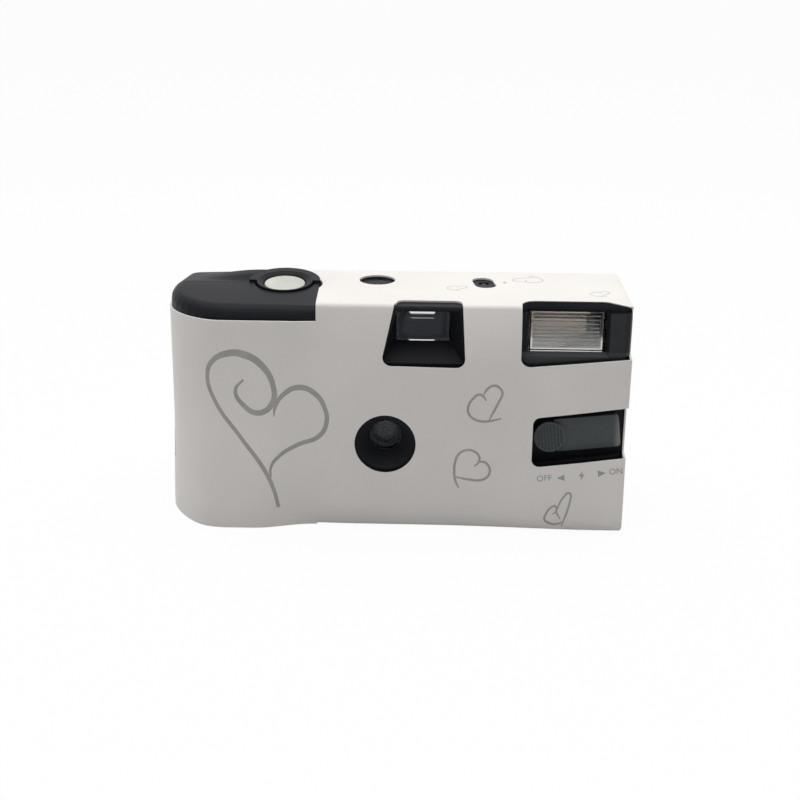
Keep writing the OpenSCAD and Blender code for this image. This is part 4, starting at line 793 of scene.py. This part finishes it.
boltOutline = [(0.25, 1.25), (-0.75, -0.15), (-0.1, -0.15), (-0.35, -1.25), (0.75, 0.3), (0.1, 0.3)]
for word, x, z in switchMarks["words"]:
    piece = wordMark(word, switchMarks["height"], switchMarks["narrow"])
    layMark("mark" + word.capitalize(), piece, (x, z), switchMarks["slope"], frontFace, inkFinish)
for number, (x, z, way) in enumerate(switchMarks["arrows"]):
    tip = switchMarks["arrowSize"]
    back = tip * switchMarks["arrowBack"]
    arrow = flatSign([(way * tip, 0), (-way * back, back), (-way * back, -back)])
    layMark(f"markArrow{number + 1}", arrow, (x, z), switchMarks["slope"], frontFace, inkFinish)
layMark("markBolt", flatSign(boltOutline), switchMarks["bolt"], switchMarks["slope"], frontFace, inkFinish)
layMark("topBolt", flatSign(boltOutline), topMarks["bolt"], topMarks["boltTurn"], topFace, paleInk)
print("marks printed")


# Numbers on the counter's dial

dial = dict(numbers=[str(count) for count in range(0, 28, 4)], height=1.5, radius=5.4, windowTurn=0.48)


def makeDialNumbers(d):
    low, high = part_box("counter_dial")
    middle = (low + high) / 2 / mm

    def dialFace(x, y, lift):
        return Vector((x, y, high.z / mm + lift))

    for i, number in enumerate(d["numbers"]):
        step = i * 2 * math.pi / len(d["numbers"])
        turn = d["windowTurn"] + step
        place = (middle.x + d["radius"] * math.cos(turn), middle.y + d["radius"] * math.sin(turn))
        layMark("dialNumber" + number, wordMark(number, d["height"]), place, step + math.pi, dialFace,
                dialWhite, "counter")


makeDialNumbers(dial)
print("dial numbered")


# Camera at the photograph's viewing angle

def makeCamera(c):
    forward = Vector((-math.sin(c["yaw"]) * math.cos(c["pitch"]),
                      math.cos(c["yaw"]) * math.cos(c["pitch"]), -math.sin(c["pitch"])))
    right = Vector((math.cos(c["yaw"]), math.sin(c["yaw"]), 0))
    up = right.cross(forward)
    cosRoll, sinRoll = math.cos(c["roll"]), math.sin(c["roll"])
    axisX = right * cosRoll + up * sinRoll
    axisY = up * cosRoll - right * sinRoll
    data = bpy.data.cameras.new("viewCamera")
    data.lens = c["focal"]
    data.sensor_width = 36
    data.clip_start, data.clip_end = 0.01, 50
    camera = bpy.data.objects.new("viewCamera", data)
    scene.collection.objects.link(camera)
    camera.matrix_world = Matrix.Translation(Vector(c["spot"]) * mm) @ Matrix(
        (axisX, axisY, -forward)).transposed().to_4x4()
    scene.camera = camera


makeCamera(viewpoint)


# Studio: pale floor that looks white, soft light from above, darker room in front

studio = dict(floorSize=8.0, floorShade=0.6, floorGrain=1.02, floorWhite=0.95, glow=0.94, front=0.18,
              back=0.74, left=0.14, depthFade=(-0.9, 0.5), sideFade=(-0.2, -1.0), lampSize=0.6,
              lampHeight=0.65, lampBack=-0.05, lampPower=2.5)


def grey(level):
    return rgba((level, level, level))


def seenRays(shade):
    # 1 for what the camera sees directly, mirrored or through glass
    rays = shade.node("ShaderNodeLightPath").socket.node.outputs
    kinds = "Is Camera Ray", "Is Glossy Ray", "Is Transmission Ray"
    camera, glossy, through = (Shade(shade.tree, rays[kind]) for kind in kinds)
    return (camera + glossy + through).clamp()


def makeFloor(s):
    bpy.ops.object.select_all(action="DESELECT")
    bpy.ops.mesh.primitive_plane_add(size=s["floorSize"], location=(0, 0, 0))
    floor = bpy.context.object
    floor.name = "floor"
    material, shade = newMaterial("paleFloor")
    seen = seenRays(shade)
    grain = shade.noise(shade.place(), 40.0, 2.0)
    tone = grain.mixColour(grey(s["floorShade"]), grey(s["floorShade"] * s["floorGrain"]))
    dull = shade.node("ShaderNodeBsdfDiffuse", None, {"Color": tone})
    paper = shade.node("ShaderNodeBsdfDiffuse", None, {"Color": grey(s["floorWhite"])})
    glow = shade.node("ShaderNodeEmission", None, {"Color": grey(1.0), "Strength": 1.0})
    white = shade.node("ShaderNodeMixShader", None, {0: s["glow"], 1: paper, 2: glow})
    endMaterial(material, shade, shade.node("ShaderNodeMixShader", None, {0: seen, 1: dull, 2: white}))
    floor.data.materials.append(material)


def makeRoom(s):
    world = bpy.data.worlds.new("studio")
    scene.world = world
    world.use_nodes = True
    world.node_tree.nodes.clear()
    shade = Shade(world.node_tree)
    seen = seenRays(shade)
    side, depth, _ = shade.axes(shade.node("ShaderNodeTexCoord", out=0))
    level = s["front"] + depth.step(*s["depthFade"]) * (s["back"] - s["front"])
    level = level + side.step(*s["sideFade"]) * s["left"]
    strength = level + seen * (1.0 - level)
    sky = shade.node("ShaderNodeBackground", None, {"Color": grey(1.0), "Strength": strength})
    shade.node("ShaderNodeOutputWorld", None, {"Surface": sky})


def makeLamp(s):
    bpy.ops.object.light_add(type="AREA", location=(0, s["lampBack"], s["lampHeight"]))
    lamp = bpy.context.object
    lamp.name = "softBox"
    lamp.data.size = s["lampSize"]
    lamp.data.energy = s["lampPower"]


makeFloor(studio)
makeRoom(studio)
makeLamp(studio)
scene.view_settings.view_transform = "Standard"
print("camera and studio ready")
